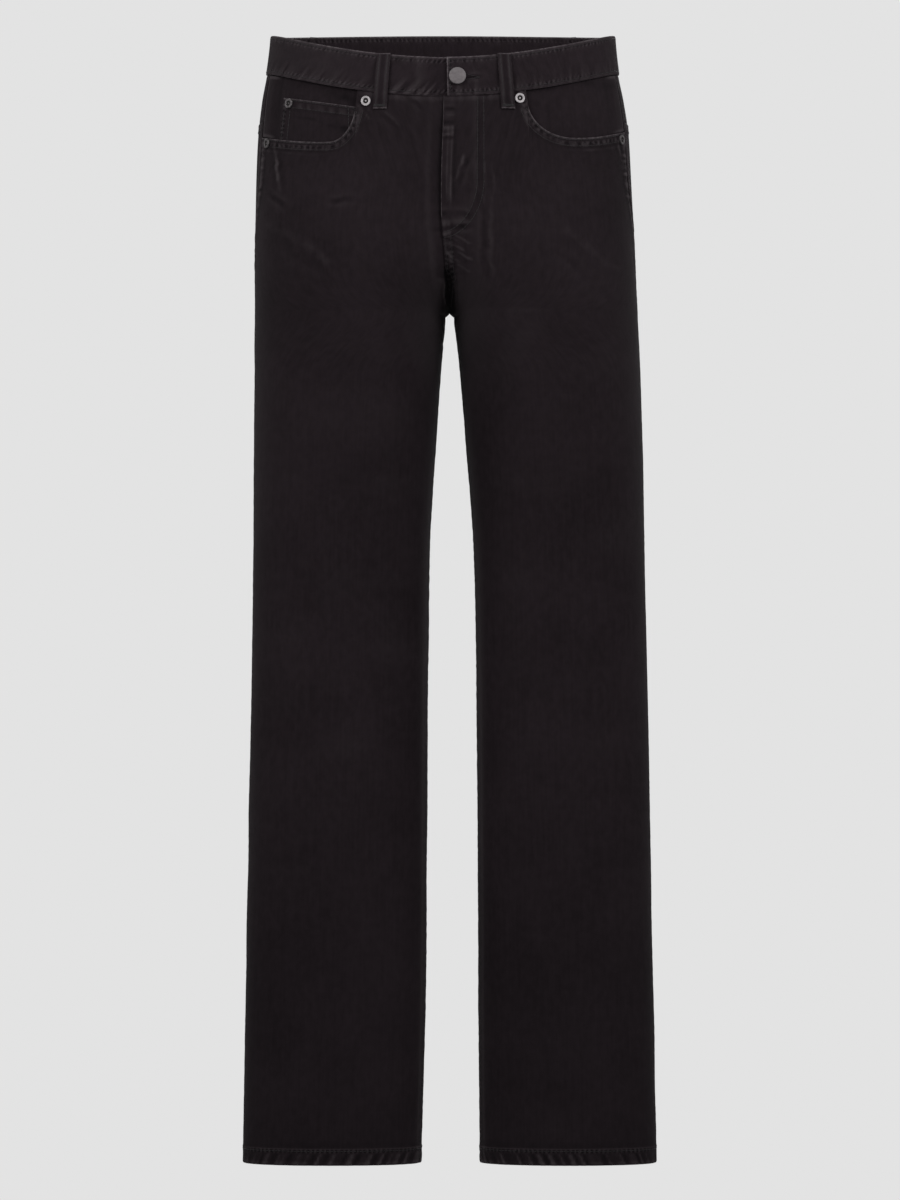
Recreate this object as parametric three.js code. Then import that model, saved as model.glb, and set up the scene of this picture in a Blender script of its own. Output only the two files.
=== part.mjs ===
// Straight leg jeans, filled out as if on an unseen form and open at the waist and both hems.
// Units are millimetres and +Z is up. The front faces -Y. Left and right are the wearer's own,
// so the left leg is at +X. The origin is the middle of the waist opening, where a wearer holds
// the jeans up. Heights are given as "down", the distance below the waistband's top edge at the
// side of the waist, and places across as the distance from the centre line of the jeans.
import * as THREE from "three";
import { mergeVertices } from "three/addons/utils/BufferGeometryUtils.js";

// Sizes of the cut
const WAIST_TOP = 25; // height of the waistband's top edge at the sides, above the origin
const FRONT_DIP = 28.3; // how much lower that edge is at the centre front
const BACK_RISE = 10; // how much higher it is at the centre back
const DIP_POWER = 2.3; // how late the dip begins on the way round to the centre
const RISE_POWER = 1.3; // the same for the rise at the back
const BAND_HEIGHT = 38.5;
const HEM_END = 1126.5;
const HEM_HEIGHT = 14;
const FORK_START = 130; // where the two legs begin to part inside the hips
const FORK_END = 277; // where the crotch seams meet
const FORK_EASE_IN = 1.3; // above 1, the legs begin to part gently
const FORK_EASE_OUT = 1.5; // above 1, they finish parting gently
const CROTCH_SEAM_DROP = 3; // height over which the gap opens to the width of the crotch seam
const CROTCH_SEAM_REACH = 40; // degrees round each leg that the crotch seam draws in

// Thicknesses and gaps
const CLOTH = 1.4;
const SEAM_GAP = 0.3;
const LAYER_GAP = 0.45; // under a flat piece that lies on a curved one
const BAND_THICKNESS = 2.6;
const BAND_PROUD = 1; // how far the waistband stands out from the panels below it
const HEM_THICKNESS = 2.8;
const HEM_PROUD = 0.4;
const HALF_GAP = SEAM_GAP / 2;

// Fullness pushes the diagonals of each rounded section outwards
const FULLNESS = 0.03;
const INNER_FULLNESS = 0.07; // where the two thighs press towards each other
const INNER_FULLNESS_REACH = 110;

// The sections of the jeans from the waist down. "centre" is the sway of the centre line and
// "right" and "left" are the half widths out to each side. "gap" is half the gap between the
// legs. "front" and "back" are the depths, and "seam" is how far, in degrees, the outseam
// lies forward of the widest point.
const SECTIONS = [
  { down: -14, centre: 0.0, right: 170.8, left: 170.8, gap: 4.6, front: 91, back: 97, seam: 12 },
  { down: 0, centre: 0.0, right: 171.5, left: 171.5, gap: 4.6, front: 92, back: 98, seam: 12 },
  { down: 40, centre: 0.5, right: 176.8, left: 175.1, gap: 4.6, front: 95, back: 104, seam: 13 },
  { down: 65, centre: 1.0, right: 181.8, left: 179.6, gap: 4.6, front: 98, back: 109, seam: 14 },
  { down: 103, centre: 1.8, right: 186.7, left: 184.2, gap: 4.6, front: 102, back: 117, seam: 15 },
  { down: 145, centre: 2.8, right: 189.5, left: 185.4, gap: 4.6, front: 104, back: 123, seam: 14 },
  { down: 190, centre: 4.0, right: 191.5, left: 186.5, gap: 4.6, front: 104, back: 126, seam: 7 },
  { down: 240, centre: 5.5, right: 193.3, left: 187.3, gap: 4.6, front: 102, back: 122, seam: 1 },
  { down: 279, centre: 6.6, right: 194.8, left: 188.0, gap: 4.6, front: 99, back: 112, seam: -1 },
  { down: 315, centre: 7.3, right: 195.8, left: 188.8, gap: 8.0, front: 96, back: 102, seam: -3 },
  { down: 365, centre: 7.7, right: 196.4, left: 190.5, gap: 12.1, front: 91, back: 94, seam: -4 },
  { down: 415, centre: 8.1, right: 197.1, left: 191.6, gap: 15.8, front: 84, back: 87, seam: -4 },
  { down: 465, centre: 8.4, right: 197.8, left: 192.2, gap: 19.5, front: 77, back: 80, seam: -4 },
  { down: 515, centre: 8.6, right: 198.2, left: 192.9, gap: 22.3, front: 70, back: 73, seam: -4 },
  { down: 565, centre: 8.9, right: 198.8, left: 193.7, gap: 23.5, front: 64, back: 67, seam: -4 },
  { down: 665, centre: 9.2, right: 200.9, left: 195.4, gap: 24.6, front: 58, back: 61, seam: -4 },
  { down: 765, centre: 9.2, right: 202.8, left: 197.2, gap: 25.4, front: 54, back: 58, seam: -4 },
  { down: 865, centre: 9.3, right: 204.8, left: 199.1, gap: 26.0, front: 51, back: 54, seam: -4 },
  { down: 965, centre: 9.1, right: 206.5, left: 201.2, gap: 26.7, front: 48, back: 49, seam: -4 },
  { down: 1065, centre: 8.1, right: 207.3, left: 204.2, gap: 28.4, front: 44, back: 45, seam: -4 },
  { down: 1126.5, centre: 7.6, right: 207.6, left: 205.4, gap: 29.6, front: 42, back: 42, seam: -4 },
];

// Front pocket mouth: a quarter oval from the waistband, then a nearly level rim to the outseam
const MOUTH = { // start is the distance across where the mouth leaves the waistband
  left: { start: 83, width: 30, height: 41.3 }, right: { start: 86.5, width: 28, height: 44.5 },
};
const MOUTH_RIM_RISE = 7;
const MOUTH_RIM_LENGTH = 62;

// Pocket facing, the piece that shows inside the mouth, and the coin pocket on it
const FACING_DEPTH = { left: 2.2, right: 3.4 }; // the right one leaves room for the coin pocket
const FACING_END = 128;
const FACING_INNER_EDGE = 76;
const FACING_ABOVE_SEAM = 6; // how far it runs up behind the waistband
const FACING_UNDER_BACK = 3.5; // degrees that it runs on under the back panel
const COIN_DEPTH = 1.8;
const COIN_THICKNESS = 1.1;
const COIN = { innerEdge: 91, outerEdge: 162, innerTop: 77, outerTop: 65, end: 124 };

// Fly: the left front lies over the right, with a separate shield behind the opening
const FLY_WIDTH = 36;
const FLY_PROUD = 1.3;
const FLY_EASE = 5;
const FLY_END = 205;
const FLY_ROUND_FROM = 150;
const SHIELD = { from: -4, to: 39, depth: 3, end: 190, gap: 0.6 };
const UNDERLAP_DEGREES = 12.5; // how far the waistband's under end runs on beneath its top end
const UNDERLAP_EASE = 8;
const TOP_END_DEGREES = 0.4;

// Back yokes and back pockets
const YOKE_SIDE_HEIGHT = 46;
const YOKE_CENTRE_HEIGHT = 78;
const BACK_POCKET = {
  innerTop: 25, outerTop: 147, innerEnd: 33, outerEnd: 140, // across, seen from behind
  top: 122, side: 238, point: 260, thickness: 1.4, clear: 0.8,
};

// Belt loops, rivets and the waist button
const LOOP = { width: 13, thickness: 1.9, below: 14.5, lift: 1.3 };
const LOOP_PLACES = {
  front_left: 19.4, back_left: 134, back_centre: 180, back_right: 226, front_right: 341,
};
const RIVET = { radius: 4.9, height: 1.7, rim: 1.2, well: 0.7 };
const RIVET_INNER = { left: { across: 74.5, down: 68.9 }, right: { across: 76.8, down: 71.7 } };
const RIVET_OUTER = { // ahead is in degrees in front of the outseam
  left: { ahead: 5.6, down: 105.6 }, right: { ahead: 7.2, down: 109.3 },
};
const BUTTON = { radius: 8.4, height: 3.2, across: 13.6, edge: 1.1 };

const DENIM = { color: 0x29242a, roughness: 0.88, metalness: 0 };
const DENIM_SEAM = { color: 0x322d31, roughness: 0.86, metalness: 0 };
const PEWTER = { color: 0x8a8587, roughness: 0.5, metalness: 0.8 };
const NICKEL = { color: 0xa8a4a6, roughness: 0.35, metalness: 0.9 };

const radians = THREE.MathUtils.degToRad;
const mix = THREE.MathUtils.lerp;
const ease = THREE.MathUtils.smoothstep;

// The slope of a smooth curve through the table at row i, flat where the column turns back.
function slope(column, i) {
  const row = SECTIONS[i];
  const before = SECTIONS[i - 1] ?? row;
  const after = SECTIONS[i + 1] ?? row;
  const rise = (from, to) => (to[column] - from[column]) / (to.down - from.down);
  if (before === row) return rise(row, after);
  if (after === row) return rise(before, row);
  const [first, second] = [rise(before, row), rise(row, after)];
  return first * second <= 0 ? 0 : (2 * first * second) / (first + second);
}

// Every column of the table at any height.
function section(down) {
  const last = SECTIONS.length - 2;
  const found = SECTIONS.findIndex((row) => row.down > down) - 1;
  const i = found < 0 ? (down < SECTIONS[0].down ? 0 : last) : found;
  const [low, high] = [SECTIONS[i], SECTIONS[i + 1]];
  const span = high.down - low.down;
  const t = (down - low.down) / span;
  const values = {};
  for (const column of Object.keys(low)) {
    const bend = t * (1 - t) * span;
    const start = slope(column, i) * (1 - t);
    const end = slope(column, i + 1) * t;
    const smooth = t * t * (3 - 2 * t);
    values[column] = mix(low[column], high[column], smooth) + bend * (start - end);
  }
  return values;
}

// One leg's rounded section at a height. Above the crotch the section overlaps the other leg's,
// more and more until the two are one hip section, and each is used up to the centre line.
const ringCache = new Map();
function ring(side, down) {
  const key = `${side} ${down}`;
  if (ringCache.has(key)) return ringCache.get(key);
  const row = section(down);
  const outer = side > 0 ? row.left : row.right;
  const way = THREE.MathUtils.clamp((down - FORK_START) / (FORK_END - FORK_START), 0, 1);
  const joined = (1 - way ** FORK_EASE_IN) ** FORK_EASE_OUT;
  const inner = row.gap - outer * joined;
  const near = 1 - ease(Math.abs(down - FORK_END), 0, INNER_FULLNESS_REACH);
  const shape = {
    centre: row.centre, middle: (outer + inner) / 2, half: (outer - inner) / 2,
    front: row.front, back: row.back, innerFullness: mix(FULLNESS, INNER_FULLNESS, near),
    seam: radians(row.seam),
    drawnIn: (row.gap - HALF_GAP) * (1 - ease(down, FORK_END, FORK_END + CROTCH_SEAM_DROP)),
  };
  const end = angleAt(shape, HALF_GAP);
  shape.frontEnd = Math.min(end, Math.PI - HALF_GAP / shape.front);
  shape.backEnd = Math.min(end, Math.PI - HALF_GAP / shape.back);
  ringCache.set(key, shape);
  return shape;
}

function push(shape, angle) {
  const fullness = Math.abs(angle) > Math.PI / 2 ? shape.innerFullness : FULLNESS;
  return 1 + fullness * Math.sin(2 * angle) ** 2;
}

// How far across the section lies at an angle. Near the crotch its inner side is drawn in to the
// centre line, where the two legs are sewn together.
function acrossAt(shape, angle) {
  const reach = radians(180 - CROTCH_SEAM_REACH);
  const drawn = shape.drawnIn * ease(Math.abs(angle), reach, Math.PI);
  return shape.middle + shape.half * Math.cos(angle) * push(shape, angle) - drawn;
}

// The angle round the section, from its outer side, at which it lies this far across.
function angleAt(shape, across) {
  let [low, high] = [0, Math.PI];
  for (let step = 0; step < 40; step += 1) {
    const middle = (low + high) / 2;
    if (acrossAt(shape, middle) > across) low = middle;
    else high = middle;
  }
  return (low + high) / 2;
}

// A point of the jeans' face. Angles are 0 at the outer side, positive round the front.
function facePoint(side, angle, down) {
  const shape = ring(side, down);
  const depth = angle > 0 ? shape.front : shape.back;
  return new THREE.Vector3(
    shape.centre + side * acrossAt(shape, angle),
    -depth * Math.sin(angle) * push(shape, angle),
    WAIST_TOP - down,
  );
}

// The direction straight out of the face, from small steps round and down it. At the inner end
// of a panel the step round it is taken back towards the outer side.
function faceNormal(side, angle, down) {
  const turn = 0.004;
  const drop = 0.4;
  const limit = angle > 0 ? ring(side, down).frontEnd : -ring(side, down).backEnd;
  const inwards = Math.abs(angle + turn) > Math.abs(limit) ? -turn : turn;
  const round = facePoint(side, angle + inwards, down).sub(facePoint(side, angle, down));
  round.multiplyScalar(Math.sign(inwards));
  const along = facePoint(side, angle, down + drop).sub(facePoint(side, angle, down - drop));
  return round.cross(along).multiplyScalar(side).normalize();
}

// A closed mesh: doubled points are joined, slivers dropped and the faces turned outwards.
function closed(geometry) {
  geometry.deleteAttribute("uv");
  geometry.deleteAttribute("normal");
  const merged = mergeVertices(geometry, 1e-4);
  const { array } = merged.getAttribute("position");
  const corner = (i) => new THREE.Vector3().fromArray(array, 3 * i);
  const faces = [];
  let volume = 0;
  for (let i = 0; i < merged.index.count; i += 3) {
    const face = [0, 1, 2].map((k) => merged.index.getX(i + k));
    if (new Set(face).size < 3) continue;
    faces.push(face);
    const [a, b, c] = face.map(corner);
    volume += a.dot(b.cross(c));
  }
  if (volume < 0) faces.forEach((face) => face.reverse());
  merged.setIndex(faces.flat());
  merged.computeVertexNormals();
  return merged;
}

// A wall of cloth over a grid of places on the face. place(i, j) gives the side, angle and down
// of a grid point and how far its outer and inner faces lie out from the jeans' face.
function wall(columns, rows, place) {
  const points = [];
  for (const layer of ["outer", "inner"]) {
    for (let j = 0; j <= rows; j += 1) {
      for (let i = 0; i <= columns; i += 1) {
        const at = place(i, j);
        const point = facePoint(at.side, at.angle, at.down);
        const normal = faceNormal(at.side, at.angle, at.down);
        points.push(...point.addScaledVector(normal, at[layer]).toArray());
      }
    }
  }
  const size = (columns + 1) * (rows + 1);
  const at = (layer, i, j) => layer * size + j * (columns + 1) + i;
  const faces = [];
  const quad = (a, b, c, d) => faces.push(a, b, c, a, c, d);
  for (let j = 0; j < rows; j += 1) {
    for (let i = 0; i < columns; i += 1) {
      quad(at(0, i, j), at(0, i, j + 1), at(0, i + 1, j + 1), at(0, i + 1, j));
      quad(at(1, i, j), at(1, i + 1, j), at(1, i + 1, j + 1), at(1, i, j + 1));
    }
  }
  for (let i = 0; i < columns; i += 1) {
    quad(at(0, i, 0), at(0, i + 1, 0), at(1, i + 1, 0), at(1, i, 0));
    quad(at(0, i + 1, rows), at(0, i, rows), at(1, i, rows), at(1, i + 1, rows));
  }
  for (let j = 0; j < rows; j += 1) {
    quad(at(0, 0, j + 1), at(0, 0, j), at(1, 0, j), at(1, 0, j + 1));
    quad(at(0, columns, j), at(0, columns, j + 1), at(1, columns, j + 1), at(1, columns, j));
  }
  const geometry = new THREE.BufferGeometry();
  geometry.setAttribute("position", new THREE.Float32BufferAttribute(points, 3));
  geometry.setIndex(faces);
  return closed(geometry);
}

const jeans = new THREE.Group();
function add(name, geometry, look) {
  const mesh = new THREE.Mesh(geometry, new THREE.MeshStandardMaterial(look));
  mesh.name = name;
  jeans.add(mesh);
  return mesh;
}

// The waistband's top edge, and the seam below it, at an angle round the hips.
function waistTop(angle) {
  const way = Math.abs(Math.sin(angle));
  return angle > 0 ? FRONT_DIP * way ** DIP_POWER : -BACK_RISE * way ** RISE_POWER;
}

function waistSeam(angle) {
  return waistTop(angle) + BAND_HEIGHT + SEAM_GAP;
}

// Down to the front pocket's mouth at a distance across, or to the waist seam beside it.
function mouthDown(side, across, angle) {
  const { start, width, height } = side > 0 ? MOUTH.left : MOUTH.right;
  const seam = waistSeam(angle);
  if (across <= start) return seam;
  const cornerEnd = start + width;
  const rim = waistSeam(Math.PI / 2) + height - SEAM_GAP;
  if (across < cornerEnd) {
    const way = (cornerEnd - across) / width;
    return Math.max(seam, rim - height * (1 - Math.sqrt(1 - way * way)));
  }
  return rim - MOUTH_RIM_RISE * ((across - cornerEnd) / MOUTH_RIM_LENGTH) ** 2;
}

// Rows of the panels below the pockets, closer together where the crotch curves under.
const UPPER_ROW = 150;
const FORK_ROWS = 9;
const BELOW_FORK = [2, 9, 22, 42, 68, 100];
const LEG_ROWS = 13;
const HEM_STEP = 0.6;
const lowerRows = [UPPER_ROW];
for (let k = 1; k <= FORK_ROWS; k += 1) {
  lowerRows.push(FORK_END - (FORK_END - UPPER_ROW) * (1 - k / FORK_ROWS) ** 2);
}
lowerRows.push(...BELOW_FORK.map((below) => FORK_END + below));
const lastClose = lowerRows.at(-1);
const hemTop = HEM_END - HEM_HEIGHT;
for (let k = 1; k <= LEG_ROWS; k += 1) lowerRows.push(mix(lastClose, hemTop, k / LEG_ROWS));
lowerRows.push(hemTop + HEM_STEP, HEM_END);

function wallDepths(down, proud = 0) {
  if (down <= hemTop) return { outer: proud, inner: proud - CLOTH };
  return { outer: HEM_PROUD, inner: HEM_PROUD - HEM_THICKNESS };
}

// How far the fly stands out on the left front, over a strip with a rounded lower end.
function flyProud(across, down) {
  const drop = Math.max(0, down - FLY_ROUND_FROM) / (FLY_END - FLY_ROUND_FROM);
  const width = FLY_WIDTH * Math.sqrt(Math.max(0, 1 - drop * drop));
  return FLY_PROUD * (1 - ease(across, width - FLY_EASE, width));
}

// Columns of a front panel, by their distance across at the hip: closer round the pocket mouth.
const FRONT_ACROSS = [
  177, 173, 168, 159, 146, 131, 118, 108, 101, 95, 90, 86.5, 84, 82, 70, 56, 42, 36, 24, 12,
];
const FRONT_TOP_ROWS = 5;
function addFront(name, side) {
  const hip = ring(side, UPPER_ROW);
  const share = (across) => {
    const from = hip.seam;
    return (angleAt(hip, across) - from) / (hip.frontEnd - from);
  };
  const shares = [0, ...FRONT_ACROSS.map(share), 1];
  const angleOf = (i, down) => {
    const shape = ring(side, down);
    const from = shape.seam + HALF_GAP / shape.front;
    return mix(from, shape.frontEnd, shares[i]);
  };
  const rows = FRONT_TOP_ROWS + lowerRows.length - 1;
  const geometry = wall(shares.length - 1, rows, (i, j) => {
    const reference = angleOf(i, waistSeam(Math.PI / 2));
    const top = mouthDown(side, i === 0 ? Infinity : FRONT_ACROSS[i - 1] ?? 0, reference);
    const rimEnd = mouthDown(side, acrossAt(hip, hip.seam), reference);
    const start = i === 0 ? rimEnd : top;
    const upper = j < FRONT_TOP_ROWS;
    const down = upper ? mix(start, UPPER_ROW, j / FRONT_TOP_ROWS)
      : lowerRows[j - FRONT_TOP_ROWS];
    const angle = angleOf(i, down);
    const proud = side > 0 ? flyProud(acrossAt(ring(side, down), angle), down) : 0;
    return { side, angle, down, ...wallDepths(down, proud) };
  });
  add(name, geometry, DENIM);
}

// Down to the seam between a yoke and its back panel: lowest at the centre back.
function yokeSeam(share, angle) {
  return waistSeam(angle) + mix(YOKE_SIDE_HEIGHT, YOKE_CENTRE_HEIGHT, share ** 1.15);
}

const BACK_COLUMNS = 13;
const BACK_TOP_ROWS = 3;
function backAngle(side, share, down) {
  const shape = ring(side, down);
  return mix(shape.seam - HALF_GAP / shape.back, -shape.backEnd, share);
}

function addBack(name, side) {
  const rows = BACK_TOP_ROWS + lowerRows.length - 1;
  const geometry = wall(BACK_COLUMNS, rows, (i, j) => {
    const share = i / BACK_COLUMNS;
    const top = yokeSeam(share, backAngle(side, share, FORK_START)) + SEAM_GAP;
    const down = j < BACK_TOP_ROWS ? mix(top, UPPER_ROW, j / BACK_TOP_ROWS)
      : lowerRows[j - BACK_TOP_ROWS];
    return { side, angle: backAngle(side, share, down), down, ...wallDepths(down) };
  });
  add(name, geometry, DENIM);
}

const YOKE_ROWS = 2;
function addYoke(name, side) {
  const geometry = wall(BACK_COLUMNS, YOKE_ROWS, (i, j) => {
    const share = i / BACK_COLUMNS;
    const reference = backAngle(side, share, FORK_START);
    const down = mix(waistSeam(reference), yokeSeam(share, reference), j / YOKE_ROWS);
    return { side, angle: backAngle(side, share, down), down, outer: 0, inner: -CLOTH };
  });
  add(name, geometry, DENIM);
}

// A place round the waist in degrees, from the centre front by the left side to the back,
// and on by the right side. Past 360 it lies under where it began.
function roundWaist(degrees) {
  if (degrees < 180) return { side: 1, angle: radians(90 - degrees) };
  if (degrees <= 360) return { side: -1, angle: radians(degrees - 270) };
  return { side: 1, angle: radians(450 - degrees) };
}

const BAND_COLUMNS = 64;
function addWaistband() {
  const last = 360 + UNDERLAP_DEGREES;
  const geometry = wall(BAND_COLUMNS, 1, (i, j) => {
    const degrees = mix(TOP_END_DEGREES, last, i / BAND_COLUMNS);
    const { side, angle } = roundWaist(degrees);
    const under = ease(degrees, 360 - UNDERLAP_EASE, 360) * (BAND_THICKNESS + SEAM_GAP);
    const outer = BAND_PROUD - under;
    return {
      side, angle, down: waistTop(angle) + j * BAND_HEIGHT, outer, inner: outer - BAND_THICKNESS,
    };
  });
  add("waistband", geometry, DENIM_SEAM);
}

const FACING_COLUMNS = 8;
const FACING_ROWS = 2;
function addFacing(name, side, depth) {
  const geometry = wall(FACING_COLUMNS, FACING_ROWS, (i, j) => {
    const angleOf = (down) => {
      const shape = ring(side, down);
      const from = shape.seam - radians(FACING_UNDER_BACK);
      return mix(from, angleAt(shape, FACING_INNER_EDGE), i / FACING_COLUMNS);
    };
    const top = waistSeam(angleOf(BAND_HEIGHT)) - FACING_ABOVE_SEAM;
    const down = mix(top, FACING_END, j / FACING_ROWS);
    return { side, angle: angleOf(down), down, outer: -depth, inner: -depth - CLOTH };
  });
  add(name, geometry, DENIM);
}

const COIN_COLUMNS = 6;
const COIN_ROWS = 3;
function addCoinPocket(name, side) {
  const geometry = wall(COIN_COLUMNS, COIN_ROWS, (i, j) => {
    const share = i / COIN_COLUMNS;
    const across = mix(COIN.innerEdge, COIN.outerEdge, share);
    const down = mix(mix(COIN.innerTop, COIN.outerTop, share), COIN.end, j / COIN_ROWS);
    const angle = angleAt(ring(side, down), across);
    return { side, angle, down, outer: -COIN_DEPTH, inner: -COIN_DEPTH - COIN_THICKNESS };
  });
  add(name, geometry, DENIM);
}

const SHIELD_COLUMNS = 4;
const SHIELD_ROWS = 6;
function addFlyShield() {
  const geometry = wall(SHIELD_COLUMNS, SHIELD_ROWS, (i, j) => {
    const across = mix(SHIELD.from, SHIELD.to, i / SHIELD_COLUMNS);
    const side = across < 0 ? -1 : 1;
    const start = waistSeam(Math.PI / 2) + SHIELD.gap;
    const down = mix(start, SHIELD.end, j / SHIELD_ROWS);
    const angle = angleAt(ring(side, down), Math.abs(across));
    return { side, angle, down, outer: -SHIELD.depth, inner: -SHIELD.depth - CLOTH };
  });
  add("fly_shield", geometry, DENIM);
}

const POCKET_COLUMNS = 11;
const POCKET_ROWS = 10;
function addBackPocket(name, side) {
  const pocket = BACK_POCKET;
  const geometry = wall(POCKET_COLUMNS, POCKET_ROWS, (i, j) => {
    const share = i / POCKET_COLUMNS;
    const point = pocket.point - (pocket.point - pocket.side) * Math.abs(2 * share - 1);
    const down = mix(pocket.top, point, j / POCKET_ROWS);
    const sink = (down - pocket.top) / (pocket.side - pocket.top);
    const from = mix(pocket.innerTop, pocket.innerEnd, sink);
    const to = mix(pocket.outerTop, pocket.outerEnd, sink);
    const angle = -angleAt(ring(side, down), mix(from, to, share));
    return { side, angle, down, outer: pocket.clear + pocket.thickness, inner: pocket.clear };
  });
  add(name, geometry, DENIM);
}

// A belt loop: its foot lies on the panel, and it steps up over the waistband to its top edge.
const LOOP_ROWS = 8;
const LOOP_COLUMNS = 2;
function addBeltLoop(name, degrees) {
  const reference = roundWaist(degrees).angle;
  const top = waistTop(reference);
  const foot = top + BAND_HEIGHT + LOOP.below;
  const geometry = wall(LOOP_COLUMNS, LOOP_ROWS, (i, j) => {
    const way = j / LOOP_ROWS;
    const down = mix(top, foot, way);
    const shape = ring(1, down);
    const half = Math.atan(LOOP.width / 2 / Math.hypot(
      shape.half * Math.sin(reference), shape.front * Math.cos(reference)));
    const turn = mix(-half, half, i / LOOP_COLUMNS);
    const { side, angle } = roundWaist(degrees + THREE.MathUtils.radToDeg(turn));
    const overBand = 1 - ease(down, foot - LOOP.below + SEAM_GAP, foot - LOOP.below / 3);
    const lift = LOOP.lift * Math.sin(Math.PI * Math.min(1, way * 1.2)) ** 2;
    const inner = LAYER_GAP + BAND_PROUD * overBand + lift;
    return { side, angle, down, outer: inner + LOOP.thickness, inner };
  });
  add(`belt_loop_${name}`, geometry, DENIM_SEAM);
}

// A round metal cap turned to lie on the cloth, from a profile of [radius, height] pairs.
function addCap(name, profile, at, clear, look) {
  const outline = profile.map(([radius, height]) => new THREE.Vector2(radius, height));
  const geometry = closed(new THREE.LatheGeometry(outline, 16));
  const normal = faceNormal(at.side, at.angle, at.down);
  const cap = add(name, geometry, look);
  cap.position.copy(facePoint(at.side, at.angle, at.down)).addScaledVector(normal, clear);
  cap.quaternion.setFromUnitVectors(new THREE.Vector3(0, 1, 0), normal);
}

function addRivet(name, side, angle, down, face = 0) {
  const { radius, height, rim, well } = RIVET;
  const profile = [
    [0, 0], [radius, 0], [radius, height - rim / 2], [radius - rim / 2, height],
    [radius - 1.5 * rim, height], [radius - 2 * rim, height - well], [0, height - well / 2],
  ];
  addCap(name, profile, { side, angle, down }, face + LAYER_GAP, NICKEL);
}

for (const [name, side] of [["left", 1], ["right", -1]]) {
  addFront(`front_${name}`, side);
  addBack(`back_${name}`, side);
  addYoke(`yoke_${name}`, side);
  addFacing(`pocket_facing_${name}`, side, FACING_DEPTH[name]);
  addBackPocket(`back_pocket_${name}`, side);
  const [inner, outer] = [RIVET_INNER[name], RIVET_OUTER[name]];
  const innerAngle = angleAt(ring(side, inner.down), inner.across);
  addRivet(`rivet_inner_${name}`, side, innerAngle, inner.down);
  const outerAngle = ring(side, outer.down).seam + radians(outer.ahead);
  addRivet(`rivet_outer_${name}`, side, outerAngle, outer.down);
}
addCoinPocket("coin_pocket", -1);
addFlyShield();
addWaistband();
for (const [name, degrees] of Object.entries(LOOP_PLACES)) addBeltLoop(name, degrees);

const coinCorner = { across: COIN.outerEdge - 6, down: COIN.outerTop + 6 };
const coinAngle = angleAt(ring(-1, coinCorner.down), coinCorner.across);
addRivet("rivet_coin", -1, coinAngle, coinCorner.down, -COIN_DEPTH);

const buttonDown = waistTop(Math.PI / 2) + BAND_HEIGHT / 2;
const buttonAngle = angleAt(ring(1, buttonDown), BUTTON.across);
addCap("waist_button", [
  [0, 0], [BUTTON.radius - BUTTON.edge, 0], [BUTTON.radius, BUTTON.edge],
  [BUTTON.radius, BUTTON.height - BUTTON.edge / 2], [BUTTON.radius - BUTTON.edge, BUTTON.height],
  [0, BUTTON.height - BUTTON.edge / 4],
], { side: 1, angle: buttonAngle, down: buttonDown }, BAND_PROUD + LAYER_GAP, PEWTER);

export default jeans;
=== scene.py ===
# %% [markdown]
# # Straight leg jeans
# These jeans stand filled out as if somebody invisible wore them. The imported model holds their
# real sizes, as plain walls of cloth. This lesson dresses each wall in washed black denim: a
# fine mesh on the same form, with felled seams, puckers, stitches, creases and worn edges.
# Everything is in metres in the model's own frame, with +Z up and the front facing -Y.

# %% Load the frame
import math
from types import SimpleNamespace

import bpy
import numpy as np
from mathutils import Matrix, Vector


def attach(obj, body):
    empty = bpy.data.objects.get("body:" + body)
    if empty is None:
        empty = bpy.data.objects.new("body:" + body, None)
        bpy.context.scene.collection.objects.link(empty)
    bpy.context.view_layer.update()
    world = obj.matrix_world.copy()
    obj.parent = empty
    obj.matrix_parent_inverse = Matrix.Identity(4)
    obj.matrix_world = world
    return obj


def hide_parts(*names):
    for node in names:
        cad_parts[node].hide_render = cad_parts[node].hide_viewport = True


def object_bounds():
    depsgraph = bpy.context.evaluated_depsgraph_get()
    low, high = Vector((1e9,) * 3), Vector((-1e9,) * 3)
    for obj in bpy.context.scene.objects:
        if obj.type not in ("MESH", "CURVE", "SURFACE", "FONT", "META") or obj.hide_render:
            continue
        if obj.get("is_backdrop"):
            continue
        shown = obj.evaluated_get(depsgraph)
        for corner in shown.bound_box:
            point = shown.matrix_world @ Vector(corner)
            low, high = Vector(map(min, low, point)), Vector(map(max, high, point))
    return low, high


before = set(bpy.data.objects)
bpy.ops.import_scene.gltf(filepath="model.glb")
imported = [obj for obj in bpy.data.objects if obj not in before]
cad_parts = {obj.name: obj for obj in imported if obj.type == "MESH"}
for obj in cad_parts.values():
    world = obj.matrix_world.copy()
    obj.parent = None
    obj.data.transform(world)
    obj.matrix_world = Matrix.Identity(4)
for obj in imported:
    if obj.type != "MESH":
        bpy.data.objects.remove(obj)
CAD_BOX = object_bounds()
print("the model's box:", CAD_BOX)

# %% [markdown]
# ## Camera, light and floor
# The photograph was taken from far off and level with the middle of the legs, so that the jeans
# look almost flat on. A long lens six metres away gives the same view: a picture 1200 pixels
# high takes in 1.2 metres. The light is broad and soft, and a little stronger from the right.

# %% Camera
MM = 0.001
CAMERA_DISTANCE = 6.0
CAMERA_SIDE = 0.007
CAMERA_HEIGHT = -0.538
PICTURE_HEIGHT = 1.2
SENSOR = 36.0


def add_camera():
    bpy.ops.object.select_all(action="DESELECT")
    place = (CAMERA_SIDE, -CAMERA_DISTANCE, CAMERA_HEIGHT)
    bpy.ops.object.camera_add(location=place, rotation=(math.radians(90), 0, 0))
    camera = bpy.context.object
    camera.data.sensor_width = SENSOR
    camera.data.lens = SENSOR * CAMERA_DISTANCE / PICTURE_HEIGHT
    camera.data.clip_end = 100
    bpy.context.scene.camera = camera


add_camera()

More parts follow.
